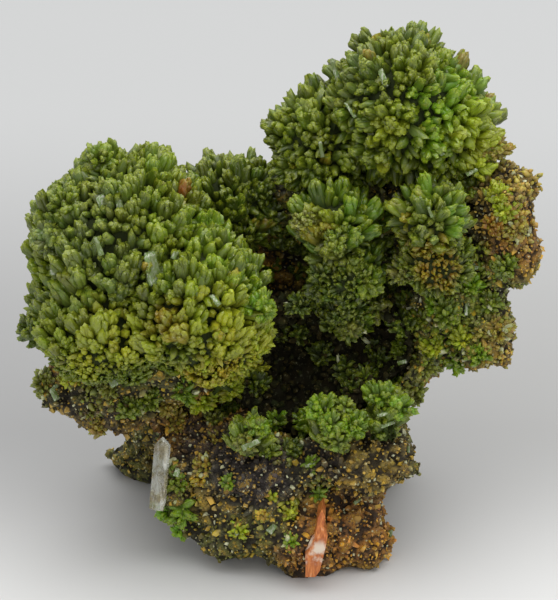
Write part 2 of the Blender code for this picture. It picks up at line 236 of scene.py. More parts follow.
# Where the rock carries close crusts of small crystals: pixel, reach, colour, how sure
CRUST_ZONES = [
    ((470, 320), 8.0, GREEN_BROWN, 1.0),  # lower right
    ((440, 345), 6.0, OLIVE, 1.0),
    ((495, 355), 5.0, GOLDEN, 0.9),
    ((505, 290), 5.0, GREEN_BROWN, 0.9),
    ((510, 180), 6.0, GOLDEN, 1.0),  # right edge
    ((522, 225), 5.0, GOLDEN, 0.9),
    ((485, 260), 4.0, OLIVE, 0.9),
    ((350, 402), 6.0, GRASS, 0.9),  # rim in front of the hollow
    ((390, 400), 4.0, GRASS, 0.9),
    ((250, 425), 4.5, FRESH_GREEN, 0.8),
    ((190, 405), 4.0, YELLOW_GREEN, 0.8),
    ((215, 415), 3.5, GREEN_BROWN, 0.8),
    ((100, 400), 5.0, GREEN_BROWN, 0.6),
    ((285, 445), 4.0, GREEN_BROWN, 0.6),
    ((175, 500), 4.0, GREEN_BROWN, 0.8),
    ((285, 510), 3.0, YELLOW_GREEN, 0.7),
    ((325, 480), 3.0, GREEN_BROWN, 0.6),
]

# Small half-balls of crystals: pixel, reach, crystal radius, colour
SPROUTS = [
    # the rim in front of the hollow
    ((232, 410), 2.2, 0.7, OLIVE), ((258, 424), 2.0, 0.8, GRASS), ((275, 420), 2.0, 0.7, GRASS),
    ((292, 450), 2.2, 0.8, DEEP_OLIVE), ((305, 422), 2.4, 0.8, GRASS), ((318, 406), 2.6, 0.9, GRASS),
    ((345, 402), 2.0, 0.9, OLIVE), ((358, 424), 2.6, 0.9, GRASS), ((378, 390), 2.8, 1.0, GRASS),
    ((400, 380), 2.8, 0.8, OLIVE), ((414, 390), 2.4, 0.6, GREEN_BROWN), ((398, 408), 2.4, 0.9, GRASS),
    ((340, 440), 2.0, 0.6, OLIVE), ((311, 462), 1.6, 0.5, GRASS), ((330, 425), 2.0, 0.7, GRASS),
    ((245, 445), 2.0, 0.6, GREEN_BROWN), ((270, 450), 1.8, 0.6, OLIVE),
    # the left ball's outermost crystals
    ((34, 270), 3.2, 1.0, OLIVE), ((32, 298), 3.4, 1.0, OLIVE), ((36, 328), 3.2, 0.9, DEEP_OLIVE),
    ((46, 235), 3.2, 1.0, GREY_OLIVE), ((60, 200), 3.0, 1.0, OLIVE), ((268, 268), 3.0, 1.1, GRASS),
    ((264, 302), 3.0, 1.0, GRASS), ((262, 335), 3.2, 0.8, YELLOW_GREEN), ((250, 370), 3.0, 0.7, BRIGHT_YELLOW),
    ((95, 160), 3.0, 1.1, OLIVE), ((480, 158), 2.8, 0.9, YELLOW_GREEN), ((497, 148), 2.6, 0.7, GOLDEN),
    # under the left ball
    ((200, 402), 2.8, 0.6, YELLOW_GREEN), ((185, 390), 2.4, 0.6, GRASS), ((168, 405), 2.2, 0.5, GOLDEN),
    ((215, 396), 2.4, 0.6, HONEY), ((228, 388), 2.4, 0.6, YELLOW_GREEN), ((150, 395), 2.4, 0.6, OLIVE),
    ((45, 382), 2.4, 0.5, GREEN_BROWN), ((70, 375), 2.2, 0.6, YELLOW_GREEN), ((98, 425), 2.0, 0.5, GOLDEN),
    ((128, 405), 2.2, 0.6, OLIVE), ((230, 408), 2.2, 0.6, GRASS), ((110, 384), 2.0, 0.5, GREEN_BROWN),
    ((214, 418), 2.0, 0.5, GREEN_BROWN), ((178, 420), 2.0, 0.5, GOLDEN), ((88, 410), 1.8, 0.45, DARK_BROWN),
    # green and golden specks of the dark rock
    ((229, 480), 1.4, 0.42, GRASS), ((271, 496), 1.3, 0.42, YELLOW_GREEN), ((317, 492), 1.4, 0.42, GRASS),
    ((288, 513), 1.5, 0.42, YELLOW_GREEN), ((292, 540), 1.5, 0.42, GRASS), ((205, 462), 2.0, 0.42, GOLDEN),
    ((240, 530), 1.6, 0.42, YELLOW_GREEN), ((176, 480), 2.2, 0.6, OLIVE), ((168, 465), 1.8, 0.5, OLIVE),
    ((262, 512), 1.3, 0.42, HONEY), ((180, 530), 1.8, 0.6, FRESH_GREEN), ((200, 478), 1.6, 0.42, HONEY),
    ((166, 508), 2.2, 0.7, FRESH_GREEN), ((215, 440), 1.6, 0.42, GOLDEN),
    # the right wall
    ((478, 349), 2.2, 0.6, GRASS), ((433, 343), 2.4, 0.6, YELLOW_GREEN), ((456, 360), 2.2, 0.6, GRASS),
    ((420, 318), 2.4, 0.6, OLIVE), ((448, 310), 2.6, 0.6, OLIVE), ((500, 330), 2.4, 0.5, GOLDEN),
    ((490, 300), 2.4, 0.55, OLIVE), ((505, 262), 2.6, 0.6, OLIVE), ((470, 285), 2.4, 0.6, GRASS),
    ((486, 172), 2.6, 0.9, GRASS), ((470, 185), 2.2, 0.9, OLIVE), ((498, 190), 2.2, 0.7, YELLOW_GREEN),
    ((505, 205), 2.2, 0.6, YELLOW_GREEN), ((495, 222), 2.0, 0.5, ORANGE_BROWN), ((515, 225), 2.0, 0.45, GOLDEN),
    ((436, 300), 2.4, 0.7, GRASS), ((462, 335), 2.2, 0.6, YELLOW_GREEN), ((430, 365), 2.0, 0.5, GREEN_BROWN),
    # knobs of the shaded inner wall, mostly deep olive as painted shade
    ((388, 250), 2.4, 0.7, DEEP_OLIVE), ((392, 290), 2.2, 0.6, DEEP_OLIVE), ((385, 215), 2.4, 0.8, GRASS),
    ((270, 215), 2.6, 0.9, DEEP_OLIVE), ((262, 190), 2.6, 0.9, DEEP_OLIVE), ((350, 330), 2.2, 0.6, DEEP_OLIVE),
    ((298, 300), 2.2, 0.6, DEEP_OLIVE), ((372, 345), 2.0, 0.6, DEEP_OLIVE), ((285, 240), 2.2, 0.7, DEEP_OLIVE),
    ((302, 222), 2.2, 0.7, GREEN_BROWN), ((310, 250), 2.2, 0.7, DEEP_OLIVE), ((335, 240), 2.0, 0.7, OLIVE),
    ((322, 268), 2.2, 0.7, DEEP_OLIVE), ((352, 262), 2.2, 0.7, OLIVE), ((345, 300), 2.2, 0.7, DEEP_OLIVE),
    ((318, 300), 2.0, 0.6, DEEP_OLIVE), ((370, 282), 2.8, 0.9, OLIVE), ((377, 304), 2.6, 0.8, GREEN_BROWN),
    ((350, 328), 2.2, 0.7, GREEN_BROWN), ((320, 287), 2.4, 0.7, DEEP_OLIVE), ((336, 312), 2.2, 0.7, DEEP_OLIVE),
    ((346, 366), 2.4, 0.7, DEEP_OLIVE), ((350, 384), 2.4, 0.7, DEEP_OLIVE), ((320, 352), 2.2, 0.6, DEEP_OLIVE),
    ((380, 356), 2.6, 0.7, DEEP_OLIVE), ((402, 346), 2.4, 0.7, OLIVE), ((404, 320), 2.6, 0.7, DEEP_OLIVE),
    ((300, 330), 2.0, 0.6, DEEP_OLIVE), ((280, 330), 2.4, 0.8, DEEP_OLIVE), ((365, 375), 2.2, 0.7, OLIVE),
    ((405, 300), 2.4, 0.7, OLIVE), ((402, 270), 2.4, 0.7, GREEN_BROWN), ((300, 270), 2.2, 0.7, DEEP_OLIVE),
    ((385, 235), 2.4, 0.8, OLIVE), ((300, 245), 2.4, 0.8, DEEP_OLIVE), ((258, 380), 2.2, 0.6, DEEP_OLIVE),
]
# Pale prisms and chips: pixel, length, width, thickness, lean to the right in degrees
# The prisms are pale crystals of the specimen; some of the small chips stand where it glints, as painted
# highlights
PLATES = [
    ((152, 268), 4.6, 2.2, 1.2, -12), ((163, 277), 3.2, 1.6, 0.9, 8), ((184, 273), 3.8, 1.5, 1.2, 4),
    ((196, 288), 2.2, 1.4, 1.0, -35), ((103, 203), 2.6, 1.6, 0.8, -25), ((118, 198), 3.2, 1.0, 0.8, -15),
    ((98, 246), 2.8, 0.8, 0.7, -20), ((53, 268), 2.0, 0.8, 0.7, 5), ((175, 255), 1.2, 0.8, 0.7, 20),
    ((90, 330), 2.2, 1.0, 0.7, 30), ((116, 377), 2.6, 2.2, 0.6, 60), ((335, 71), 3.4, 0.7, 0.6, -18),
    ((383, 78), 2.6, 0.8, 0.6, -22), ((321, 149), 2.4, 0.6, 0.6, -10), ((449, 75), 2.0, 0.7, 0.6, -15),
    ((350, 110), 2.6, 0.5, 0.5, -35), ((478, 266), 1.6, 1.0, 0.7, 80), ((466, 307), 2.4, 0.6, 0.6, 2),
    ((388, 424), 2.2, 0.6, 0.6, 70), ((384, 414), 2.0, 0.5, 0.5, 75), ((251, 444), 2.8, 0.9, 0.6, 65),
    ((311, 465), 1.8, 0.6, 0.6, 80), ((272, 528), 1.6, 1.1, 0.7, 40), ((236, 532), 1.0, 0.7, 0.6, -20),
    ((177, 472), 1.4, 1.0, 0.7, 15), ((408, 448), 1.4, 0.5, 0.5, 0), ((358, 500), 1.6, 0.6, 0.6, 50),
    ((390, 533), 1.0, 0.7, 0.6, 10), ((54, 394), 2.0, 1.0, 0.8, -30), ((56, 386), 1.4, 0.8, 0.7, 40),
    ((440, 150), 1.8, 0.6, 0.5, -30), ((215, 300), 2.0, 0.7, 0.6, -40), ((430, 212), 1.6, 0.5, 0.5, -25),
    ((402, 362), 1.4, 0.7, 0.5, 75), ((472, 172), 1.8, 0.5, 0.5, 60), ((164, 458), 1.6, 0.7, 0.5, 20),
]
PLATE_TAPER, PLATE_BEVEL = 0.8, 0.14
# The splinter's edge in the photograph's pixels, its depth, and the heights of its white patch
SPLINTER_OUTLINE = [
    (323, 510), (326, 518), (324, 526), (327, 536), (325, 548), (323, 560), (320, 570), (316, 578),
    (305, 577), (306, 566), (305, 557), (310, 549), (314, 541), (316, 530), (318, 518),
]
SPLINTER_DEPTH = 3.4
SPLINTER_BEND, SPLINTER_LEAN = 6.0, 0.25  # the height above which it leans back with the foot, and how much
SPLINTER_ROUGHNESS = 0.12
PATCH_LOW, PATCH_HIGH = (4.6 * MM, 5.6 * MM), (7.6 * MM, 9.0 * MM)

# Relief of the rough skins, in millimetres: lumps, pits, and crumbs of two pitches with their height
# and how far they are bent. FOOT_MARGIN is the height over the ground within which it fades out, and
# the voxels are the pitch of the skins.
LUMP_SIZE, LUMP_HEIGHT = 5.0, 0.55
PIT_SIZE, PIT_DEPTH = 2.6, 0.9
CRUMB_RELIEF = ((2.6, 1.0, 0.7), (1.15, 0.55, 0.35))
RELIEF_MIDDLE = 0.75
FOOT_MARGIN = 1.4 * MM
ROCK_VOXEL = 0.46
HOLLOW_VOXEL = 0.6
CORE_VOXEL = 0.8
FINE_RELIEF = 0.15 * MM  # how deep a bump's grain is
SHARP_ANGLE = math.radians(76)  # gentler edges are shaded round

# Crystals: which shape each radius in millimetres takes, then how they are spread. Spacings, heights
# and lengths are over a crystal's own radius.
SIZE_LIMITS = (("grain", 0.5), ("knob", 0.85), ("finger", 1.35), ("stout", math.inf))
TIPS_PER_MM2 = 8  # candidates, before they are thinned
FINGER_SPACING = 1.55  # between fingers' tips
FINGER_LENGTH = 4.1
FINGER_RADII, FINGER_LENGTHS = (0.75, 1.2), (0.85, 1.15)  # least and most over the usual
FINGER_SHIFTS = (-1.0, 0.4)  # how far tips stand inwards and outwards
FILLER_RADII, FILLER_LENGTHS = (0.38, 0.62), (3.0, 4.8)  # over a finger's radius, and over their own
LOBE_MARGIN = 0.96  # the share of a lobe's reach inside which another lobe's tips are dropped
CORE_DEPTH, CORE_DEEPEST = 0.62, 0.6  # under the lobes: over a finger's length, and at most over their reach
FAN, SWAY, LIFTED = 0.36, 0.35, 0.4  # how far fingers lean out of a sheaf, at random, and fillers upwards
SWAY_SIZE, SWELL_SIZE, SWELL = 7.0, 9.0, 0.5  # in millimetres
SHEAF_DIP = 1.3  # how much lower a sheaf's rim lies than its middle, in millimetres
FILLERS_PER_MM2 = 5.0
FILLER_SPACING = 1.45
FILLER_PROBES = (0.35, 0.55, 0.75, 0.95)  # shares of a finger's length at which it is felt for
FILLER_HEIGHT, FILLER_CLEARANCE = 0.7, 0.8
# Small crystals scattered on a surface: candidates on a square millimetre, size (the least radius in
# millimetres, how much more the largest has, how rare large ones are), their spacing, and slender,
# the least and the most length.
CRUMBS = {"per_mm2": 5.5, "size": (0.17, 0.4, 2.2), "spacing": 2.3, "slender": (1.2, 2.4)}
CRUSTS = {"per_mm2": 5.0, "size": (0.26, 0.45, 2), "spacing": 1.9, "slender": (2.2, 3.6)}
DRUSE = {"per_mm2": 1.8, "size": (0.35, 0.35, 1), "spacing": 2.1, "slender": (1.6, 3.0)}
# GLINTS and GLINT_RADIUS: grains painted cream as glints, painted highlights
GLINTS = 0.08  # the share of the smallest grains that glint
GLINT_RADIUS = 0.5  # only smaller grains glint
SPROUT_SINK = 0.35  # how far a half-ball's middle lies under its place, over its reach
# Light and floor, in watts and metres
FLOOR_REACH = 2.0
LAMP_POWER, LAMP_SIZE = 7.4, 1.2
LAMP_PLACE, LAMP_AIM = Vector((0.1, 0.02, 0.8)), Vector((0, 0, 0.03))
ROOM_STRENGTH = 0.72


def place(point):
    """Millimetres on the specimen as metres in the frame."""
    return (np.asarray(point, float) - FRAME_ORIGIN) * MM


def smooth(value, low, high):
    """0 below low, 1 above high, and a soft step between."""
    share = np.clip((value - low) / (high - low), 0, 1)
    return share * share * (3 - 2 * share)


def unit(vectors):
    """Vectors, one in each row, made one long."""
    return vectors / np.maximum(np.linalg.norm(vectors, axis=-1, keepdims=True), 1e-12)


def meshed(bm, name):
    """Ends a bmesh as a mesh."""
    mesh = bpy.data.meshes.new(name)
    bm.to_mesh(mesh)
    bm.free()
    return mesh


def linked(name, data):
    """A new object in the scene."""
    made = bpy.data.objects.new(name, data)
    bpy.context.scene.collection.objects.link(made)
    return made


def aimed(name, data, spot, direction):
    """A camera or a lamp that looks in a direction."""
    made = linked(name, data)
    made.location = spot
    made.rotation_mode = "QUATERNION"
    made.rotation_quaternion = direction.to_track_quat("-Z", "Y")
    return made


class Camera:
    """The photograph's camera, and the line of sight through each of its pixels."""
    back = Vector((0, -math.cos(VIEW_ELEVATION), math.sin(VIEW_ELEVATION)))
    up = Vector((0, math.sin(VIEW_ELEVATION), math.cos(VIEW_ELEVATION)))
    eye = VIEW_TARGET + back * VIEW_DISTANCE

    @classmethod
    def make(cls):
        """Puts the camera in the scene."""
        data = bpy.data.cameras.new("camera")
        data.sensor_width = SENSOR
        data.lens = SENSOR * VIEW_DISTANCE / (PHOTO_HEIGHT * PIXEL)
        data.clip_start = 0.01
        bpy.context.scene.camera = aimed("camera", data, cls.eye, -cls.back)

    @classmethod
    def sight(cls, pixel):
        """The way from the eye to a pixel's place on the plane through the target."""
        across = (pixel[0] - PHOTO_WIDTH / 2) * PIXEL
        above = (PHOTO_HEIGHT / 2 - pixel[1]) * PIXEL
        return VIEW_TARGET + Vector((across, 0, 0)) + cls.up * above - cls.eye

    @classmethod
    def through(cls, pixel, depth):
        """Where the line of sight through a pixel meets an upright plane that faces the front."""
        sight = cls.sight(pixel)
        return cls.eye + sight * ((depth - cls.eye.y) / sight.y)

    @classmethod
    def hit(cls, pixel, trees):
        """Where the line of sight through a pixel first meets one of the trees: place and normal."""
        found = [tree.ray_cast(cls.eye, cls.sight(pixel).normalized()) for tree in trees]
        found = [f for f in found if f[0] is not None]
        if not found:
            return None
        nearest = min(found, key=lambda f: f[3])
        return nearest[0], nearest[1]


class Value:
    """A shader socket on which sums can be written."""

    def __init__(self, paintbox, socket):
        self.paintbox = paintbox
        self.socket = socket

    def sum(self, operation, first, second):
        return self.paintbox.node("ShaderNodeMath", {"operation": operation}, {0: first, 1: second})

    def __add__(self, other):
        return self.sum("ADD", self, other)

    def __radd__(self, other):
        return self.sum("ADD", other, self)

    def __sub__(self, other):
        return self.sum("SUBTRACT", self, other)

    def __rsub__(self, other):
        return self.sum("SUBTRACT", other, self)

    def __mul__(self, other):
        return self.sum("MULTIPLY", self, other)

    def __rmul__(self, other):
        return self.sum("MULTIPLY", other, self)


class Paintbox:
    """One material and its nodes."""

    def __init__(self, name, **constants):
        self.material = bpy.data.materials.new(name)
        self.material.use_nodes = True
        self.tree = self.material.node_tree
        self.shader = self.tree.nodes["Principled BSDF"]
        for socket, value in constants.items():
            self.shader.inputs[socket.replace("_", " ")].default_value = value

    def node(self, kind, settings=None, sockets=None, out=0):
        made = self.tree.nodes.new(kind)
        for setting, value in (settings or {}).items():
            setattr(made, setting, value)
        for socket, value in (sockets or {}).items():
            if isinstance(value, Value):
                self.tree.links.new(value.socket, made.inputs[socket])
            else:
                made.inputs[socket].default_value = value
        return Value(self, made.outputs[out])

    def attribute(self, name, out):
        return self.node("ShaderNodeAttribute", {"attribute_name": name}, out=out)

    def place(self):
        return self.node("ShaderNodeTexCoord", out="Object")

    def noise(self, vector, scale, detail=3.0, roughness=0.55):
        sockets = {"Vector": vector, "Scale": scale, "Detail": detail, "Roughness": roughness}
        return self.node("ShaderNodeTexNoise", sockets=sockets)

    def band(self, value, low, high):
        """0 below low, 1 above high, softly."""
        sockets = {"Value": value, "From Min": low, "From Max": high}
        return self.node("ShaderNodeMapRange", {"interpolation_type": "SMOOTHSTEP"}, sockets)

    def mix(self, share, first, second):
        first = first if isinstance(first, Value) else (*first, 1)
        second = second if isinstance(second, Value) else (*second, 1)
        return self.node("ShaderNodeMix", {"data_type": "RGBA"}, {0: share, 6: first, 7: second}, out=2)

    def stretch(self, vector, factors):
        return self.node("ShaderNodeVectorMath", {"operation": "MULTIPLY"}, {0: vector, 1: factors})

    def bump(self, height, strength, distance):
        sockets = {"Height": height, "Strength": strength, "Distance": distance}
        return self.node("ShaderNodeBump", sockets=sockets, out="Normal")

    def layered(self, colour, *layers):
        """A colour with others laid over it, each by its mask."""
        for mask, over in layers:
            colour = self.mix(mask, colour, over)
        return colour

    def finished(self, **sockets):
        """The material, with its shader fed."""
        for socket, value in sockets.items():
            self.tree.links.new(value.socket, self.shader.inputs[socket.replace("_", " ")])
        return self.material


def crystal_material():
    """Pyromorphite: waxy green barrels, paler at their tips, grooved lengthwise and stained with rust, with
    painted shade towards their roots and painted cream glints.
    """
    box = Paintbox("pyromorphite", IOR=1.6, Specular_IOR_Level=0.32, Coat_Roughness=0.08,
                   Subsurface_Weight=0.2, Subsurface_Scale=0.8 * MM)
    box.shader.inputs["Subsurface Radius"].default_value = (0.7, 1.0, 0.25)
    body = box.attribute("body", "Color")
    rise = box.attribute("rise", "Fac")
    stain = box.attribute("stain", "Fac")
    grain = box.attribute("grain", "Vector")
    cloud = box.noise(grain, 1.1, 3.0)
    grooves = box.noise(box.stretch(grain, (7.0, 7.0, 0.8)), 1.0, 2.0)
    flecks = box.noise(grain, 8.0, 2.0)
    # depth grows towards a crystal's root: it paints shade there, and makes the roots matt and without coat
    depth = 1 - box.band(rise, 0.1, 0.75)
    colour = box.layered(
        body,
        (box.band(cloud, 0.4, 0.7) * 0.45, DEEP_OLIVE),
        (box.band(grooves, 0.5, 0.75) * 0.3, YELLOW_GREEN),
        (box.band(rise, 0.78, 1.0) * box.band(flecks, 0.35, 0.6) * 0.6, YELLOW_GREEN),
        (stain * box.band(rise, 0.35, 0.95) * box.band(cloud, 0.35, 0.6) * 0.8, OCHRE),
        # painted glints: cream flecks on the upper parts
        (box.band(flecks, 0.66, 0.72) * box.band(rise, 0.4, 0.9) * 0.6, CREAM),
        # painted shade towards the roots
        (depth * 0.7, SHADE_GREEN),
    )
    return box.finished(
        Base_Color=colour,
        Roughness=0.2 + flecks * 0.25 + depth * 0.6,
        Coat_Weight=0.18 - depth * 0.18,
        Normal=box.bump(grooves * 0.6 + flecks * 0.4, 0.4, 0.12 * MM),
    )


def rock_material():
    """Iron-stained matrix: golden crumbs over dark pits, with its main colour from its mesh, painted shade in
    the low parts of its relief and painted cream glints.
    """
    box = Paintbox("rock", IOR=1.5, Specular_IOR_Level=0.4)
    body = box.attribute("body", "Color")
    crest = box.attribute("rise", "Fac")
    spot = box.place()
    cloud = box.noise(spot, 420.0, 4.0)
    crumbs = box.noise(spot, 2100.0, 3.0, 0.7)
    fine = box.noise(spot, 5200.0, 2.0, 0.6)
    colour = box.layered(
        body,
        (box.band(cloud, 0.42, 0.6) * 0.5, PURPLE_BLACK),
        # painted shade in the low parts of the relief
        ((1 - box.band(crest, 0.05, 0.5)) * 0.9, PIT_SHADE_AND_SPECKS),
        (box.band(crest, 0.5, 1.0) * box.band(crumbs, 0.42, 0.58) * 0.6, HONEY),
        ((1 - box.band(crumbs, 0.3, 0.48)) * 0.8, PIT_SHADE_AND_SPECKS),
        # painted glints: fine cream flecks
        (box.band(fine, 0.62, 0.7) * box.band(crest, 0.2, 0.8) * 0.6, CREAM),
    )
    roughness = 0.45 + crumbs * 0.35 - box.band(fine, 0.6, 0.7) * 0.3
    normal = box.bump(crumbs + fine * 0.3, 1.0, 0.45 * MM)
    return box.finished(Base_Color=colour, Roughness=roughness, Normal=normal)


def grain_material(name, bright, matt):
    """Tiny crystals and rusty granules: how much honey and cream they show, and how matt they are. The cream is
    painted glints, and their low parts get painted shade.
    """
    box = Paintbox(name, IOR=1.5, Specular_IOR_Level=0.5 - 0.4 * matt)
    body = box.attribute("body", "Color")
    rise = box.attribute("rise", "Fac")
    spot = box.place()
    cloud = box.noise(spot, 500.0, 3.0)
    flecks = box.noise(spot, 2600.0, 2.0)
    colour = box.layered(
        body,
        (box.band(cloud, 0.45, 0.65) * 0.5, DARK_BROWN * (0.4 + 0.6 * bright)),
        (box.band(rise, 0.5, 1.0) * box.band(flecks, 0.45, 0.6) * 0.4 * bright, HONEY),
        # painted glints: cream flecks
        (box.band(flecks, 0.62, 0.68) * 0.8 * bright, CREAM),
        # painted shade towards the grains' roots and in the low parts of a crust
        ((1 - box.band(rise, 0.0, 0.7)) * 0.6, PIT_SHADE_AND_SPECKS),
    )
    roughness = 0.3 + 0.4 * matt + cloud * 0.3
    return box.finished(Base_Color=colour, Roughness=roughness, Normal=box.bump(flecks, 0.6, FINE_RELIEF))


def clear_material():
    """The pale prism: clear, with milky streaks and brown clouds."""
    box = Paintbox("pale_crystal", IOR=1.5, Roughness=0.06, Transmission_Weight=0.7)
    spot = box.place()
    streaks = box.noise(box.stretch(spot, (2600.0, 2600.0, 300.0)), 1.0, 3.0)
    stains = box.noise(spot, 500.0, 3.0)
    colour = box.layered(
        paint(226, 228, 218),
        (box.band(stains, 0.42, 0.6) * 0.8, paint(158, 142, 90)),
        (box.band(streaks, 0.54, 0.62) * 0.6, paint(250, 250, 246)),
    )
    return box.finished(Base_Color=colour, Normal=box.bump(streaks, 0.6, FINE_RELIEF))


def plate_material():
    """Pale green to white prisms, streaked lengthwise."""
    box = Paintbox("pale_plates", IOR=1.6, Transmission_Weight=0.35, Coat_Weight=0.5, Coat_Roughness=0.05)
    spot = box.place()
    streaks = box.noise(box.stretch(spot, (3500.0, 3500.0, 500.0)), 1.0, 2.0)
    cloud = box.noise(spot, 500.0, 2.0)
    colour = box.layered(
        PALE_GREEN,
        (box.band(streaks, 0.45, 0.65), paint(226, 232, 208)),
        (box.band(cloud, 0.4, 0.6) * 0.8, OLIVE),
    )
    roughness = 0.08 + streaks * 0.25
    return box.finished(Base_Color=colour, Roughness=roughness, Normal=box.bump(streaks, 0.8, FINE_RELIEF))


def splinter_material():
    """Orange splinter with a white patch low on it."""
    box = Paintbox("orange_splinter", IOR=1.5, Coat_Weight=0.2)
    spot = box.place()
    height = box.node("ShaderNodeSeparateXYZ", sockets={0: spot}, out="Z")
    patches = box.noise(spot, 450.0, 3.0)
    fibres = box.noise(box.stretch(spot, (3000.0, 3000.0, 400.0)), 1.0, 3.0)
    level = box.band(height, *PATCH_LOW) - box.band(height, *PATCH_HIGH)
    colour = box.layered(
        paint(170, 88, 34),
        (box.band(fibres, 0.35, 0.7), paint(220, 134, 66)),
        (level * box.band(patches, 0.4, 0.55), paint(222, 204, 184)),
        (box.band(fibres, 0.62, 0.72) * 0.5, paint(230, 186, 150)),
    )
    roughness = 0.35 + fibres * 0.25
    return box.finished(Base_Color=colour, Roughness=roughness, Normal=box.bump(fibres, 0.5, FINE_RELIEF))


def floor_material():
    """Pale paper with painted light and shade: brighter at the back and in front, where it lightens the
    specimen's shadow, and duller to the left.
    """
    box = Paintbox("pale_floor", Roughness=0.7)
    spot = box.place()
    back = box.node("ShaderNodeSeparateXYZ", sockets={0: spot}, out="Y")
    side = box.node("ShaderNodeSeparateXYZ", sockets={0: spot}, out="X")
    tone = box.mix(box.band(side, -0.06, 0.02), paint(150, 150, 150), paint(160, 160, 159))
    tone = box.mix(box.band(back, -0.03, 0.03), paint(212, 212, 211), tone)
    return box.finished(Base_Color=box.mix(box.band(back, 0.04, 0.15), tone, paint(180, 181, 181)))


class Heap:
    """Many small shapes gathered into one mesh, with the values that its material reads."""

    def __init__(self):
        self.rows = []
        self.count = 0

    def add(self, points, corners, sizes, rise, stain, grain, body):
        self.rows.append((points, corners + self.count, sizes, rise, stain, grain, body))
        self.count += len(points)

    def grow(self, shape, growth):
        """Stands one copy of a shape at each root, along its axis, and carries its values with it."""
        axis = growth["axis"]
        helper = np.where(np.abs(axis[:, 2:]) < 0.9, (0.0, 0.0, 1.0), (1.0, 0.0, 0.0))
        side = unit(np.cross(helper, axis))
        other = np.cross(axis, side)
        turn = growth["turn"][:, None]
        across = side * np.cos(turn) + other * np.sin(turn)
        along = other * np.cos(turn) - side * np.sin(turn)
        radius, length = growth["radius"][:, None, None], growth["length"][:, None, None]
        local = shape.points[None]
        points = (growth["root"][:, None] + across[:, None] * local[..., :1] * radius
                  + along[:, None] * local[..., 1:2] * radius + axis[:, None] * local[..., 2:] * length)
        copies, each = len(axis), len(shape.points)
        shift = (np.arange(copies) * each)[:, None]
        rise = np.tile(shape.points[:, 2], copies)
        grain = (local * (1.0, 1.0, 1.6) + growth["offset"][:, None]).reshape(-1, 3)
        self.add(points.reshape(-1, 3), (shape.corners[None] + shift).ravel(), np.tile(shape.sizes, copies),
                 np.clip(rise, 0, 1), np.repeat(growth["stain"], each), grain,
                 np.repeat(growth["body"], each, axis=0))

    def add_mesh(self, mesh, rise, body):
        """Adds a finished mesh, such as the core that crystals stand on."""
        points = read(mesh.vertices, "co", 3)
        corners = read(mesh.loops, "vertex_index", 1).astype(int).ravel()
        sizes = read(mesh.polygons, "loop_total", 1).astype(int).ravel()
        n = len(points)
        body = np.broadcast_to(body, (n, 3))
        self.add(points, corners, sizes, np.broadcast_to(rise, n), np.zeros(n), points / MM, body)

    def object(self, name, material, smooth_shaded=False):
        """The heap as an object that stands on the floor, with its values as attributes."""
        mesh = bpy.data.meshes.new(name)
        points, corners, sizes, rise, stain, grain, body = map(np.concatenate, zip(*self.rows))
        points[:, 2] = np.maximum(points[:, 2], 0)
        mesh.vertices.add(len(points))
        mesh.vertices.foreach_set("co", points.astype(np.float32).ravel())
        mesh.loops.add(len(corners))
        mesh.loops.foreach_set("vertex_index", corners.astype(np.int32))
        mesh.polygons.add(len(sizes))
        mesh.polygons.foreach_set("loop_start", (np.cumsum(sizes) - sizes).astype(np.int32))
        mesh.update(calc_edges=True)
        body = np.hstack([body, np.ones((len(body), 1))])
        for label, kind, key, values in (("rise", "FLOAT", "value", rise), ("stain", "FLOAT", "value", stain),
                                         ("grain", "FLOAT_VECTOR", "vector", grain),
                                         ("body", "FLOAT_COLOR", "color", body)):
            layer = mesh.attributes.new(label, kind, "POINT")
            layer.data.foreach_set(key, values.astype(np.float32).ravel())
        mesh.shade_smooth()
        if not smooth_shaded:
            mesh.set_sharp_from_angle(angle=SHARP_ANGLE)
        mesh.materials.append(material)
        return linked(name, mesh)


class Shape:
    """A small mesh made once and repeated, read from a bmesh."""

    def __init__(self, bm):
        bm.verts.index_update()
        self.points = np.array([v.co for v in bm.verts])
        self.corners = np.array([v.index for face in bm.faces for v in face.verts])
        self.sizes = np.array([len(face.verts) for face in bm.faces])
        bm.free()


def read(items, name, width):
    """One value of every item of a mesh, as rows."""
    values = np.zeros(len(items) * width, np.float32)
    items.foreach_get(name, values)
    return values.reshape(-1, width)


def add_barrel(bm, rows, angle, spin, sides=6):
    """A closed barrel. rows hold height, radius and distance from the bundle's axis."""
    direction = Vector((math.cos(angle), math.sin(angle), 0))
    (low, low_radius, low_out), (high, high_radius, high_out) = rows[0], rows[1]
    turn = Matrix.Rotation(spin, 4, "Z")
    made = bmesh.ops.create_cone(bm, cap_ends=True, segments=sides, radius1=low_radius, radius2=high_radius,
                                 depth=high - low)["verts"]
    bmesh.ops.transform(bm, matrix=turn, verts=made)
    for v in made:
        out, level = (low_out, low) if v.co.z < 0 else (high_out, high)
        v.co = Vector((v.co.x, v.co.y, level)) + direction * out
    faces = sorted({f for v in made for f in v.link_faces}, key=lambda f: f.calc_center_median().z)
    cap = faces[-1]
    bmesh.ops.delete(bm, geom=faces[:1], context="FACES_ONLY")
    radius, out = high_radius, high_out
    for level, next_radius, next_out in rows[2:]:
        cap = bmesh.ops.extrude_discrete_faces(bm, faces=[cap])["faces"][0]
        middle = direction * out
        for v in cap.verts:
            flat = (v.co - middle) * (next_radius / radius)
            v.co = Vector((flat.x, flat.y, level)) + direction * next_out
        radius, out = next_radius, next_out


def jittered(bm, rng, amount):
    """Moves every vertex a little, because no crystal grows perfectly."""
    for v in bm.verts:
        v.co += Vector(rng.uniform(-amount, amount, 3))
    return Shape(bm)


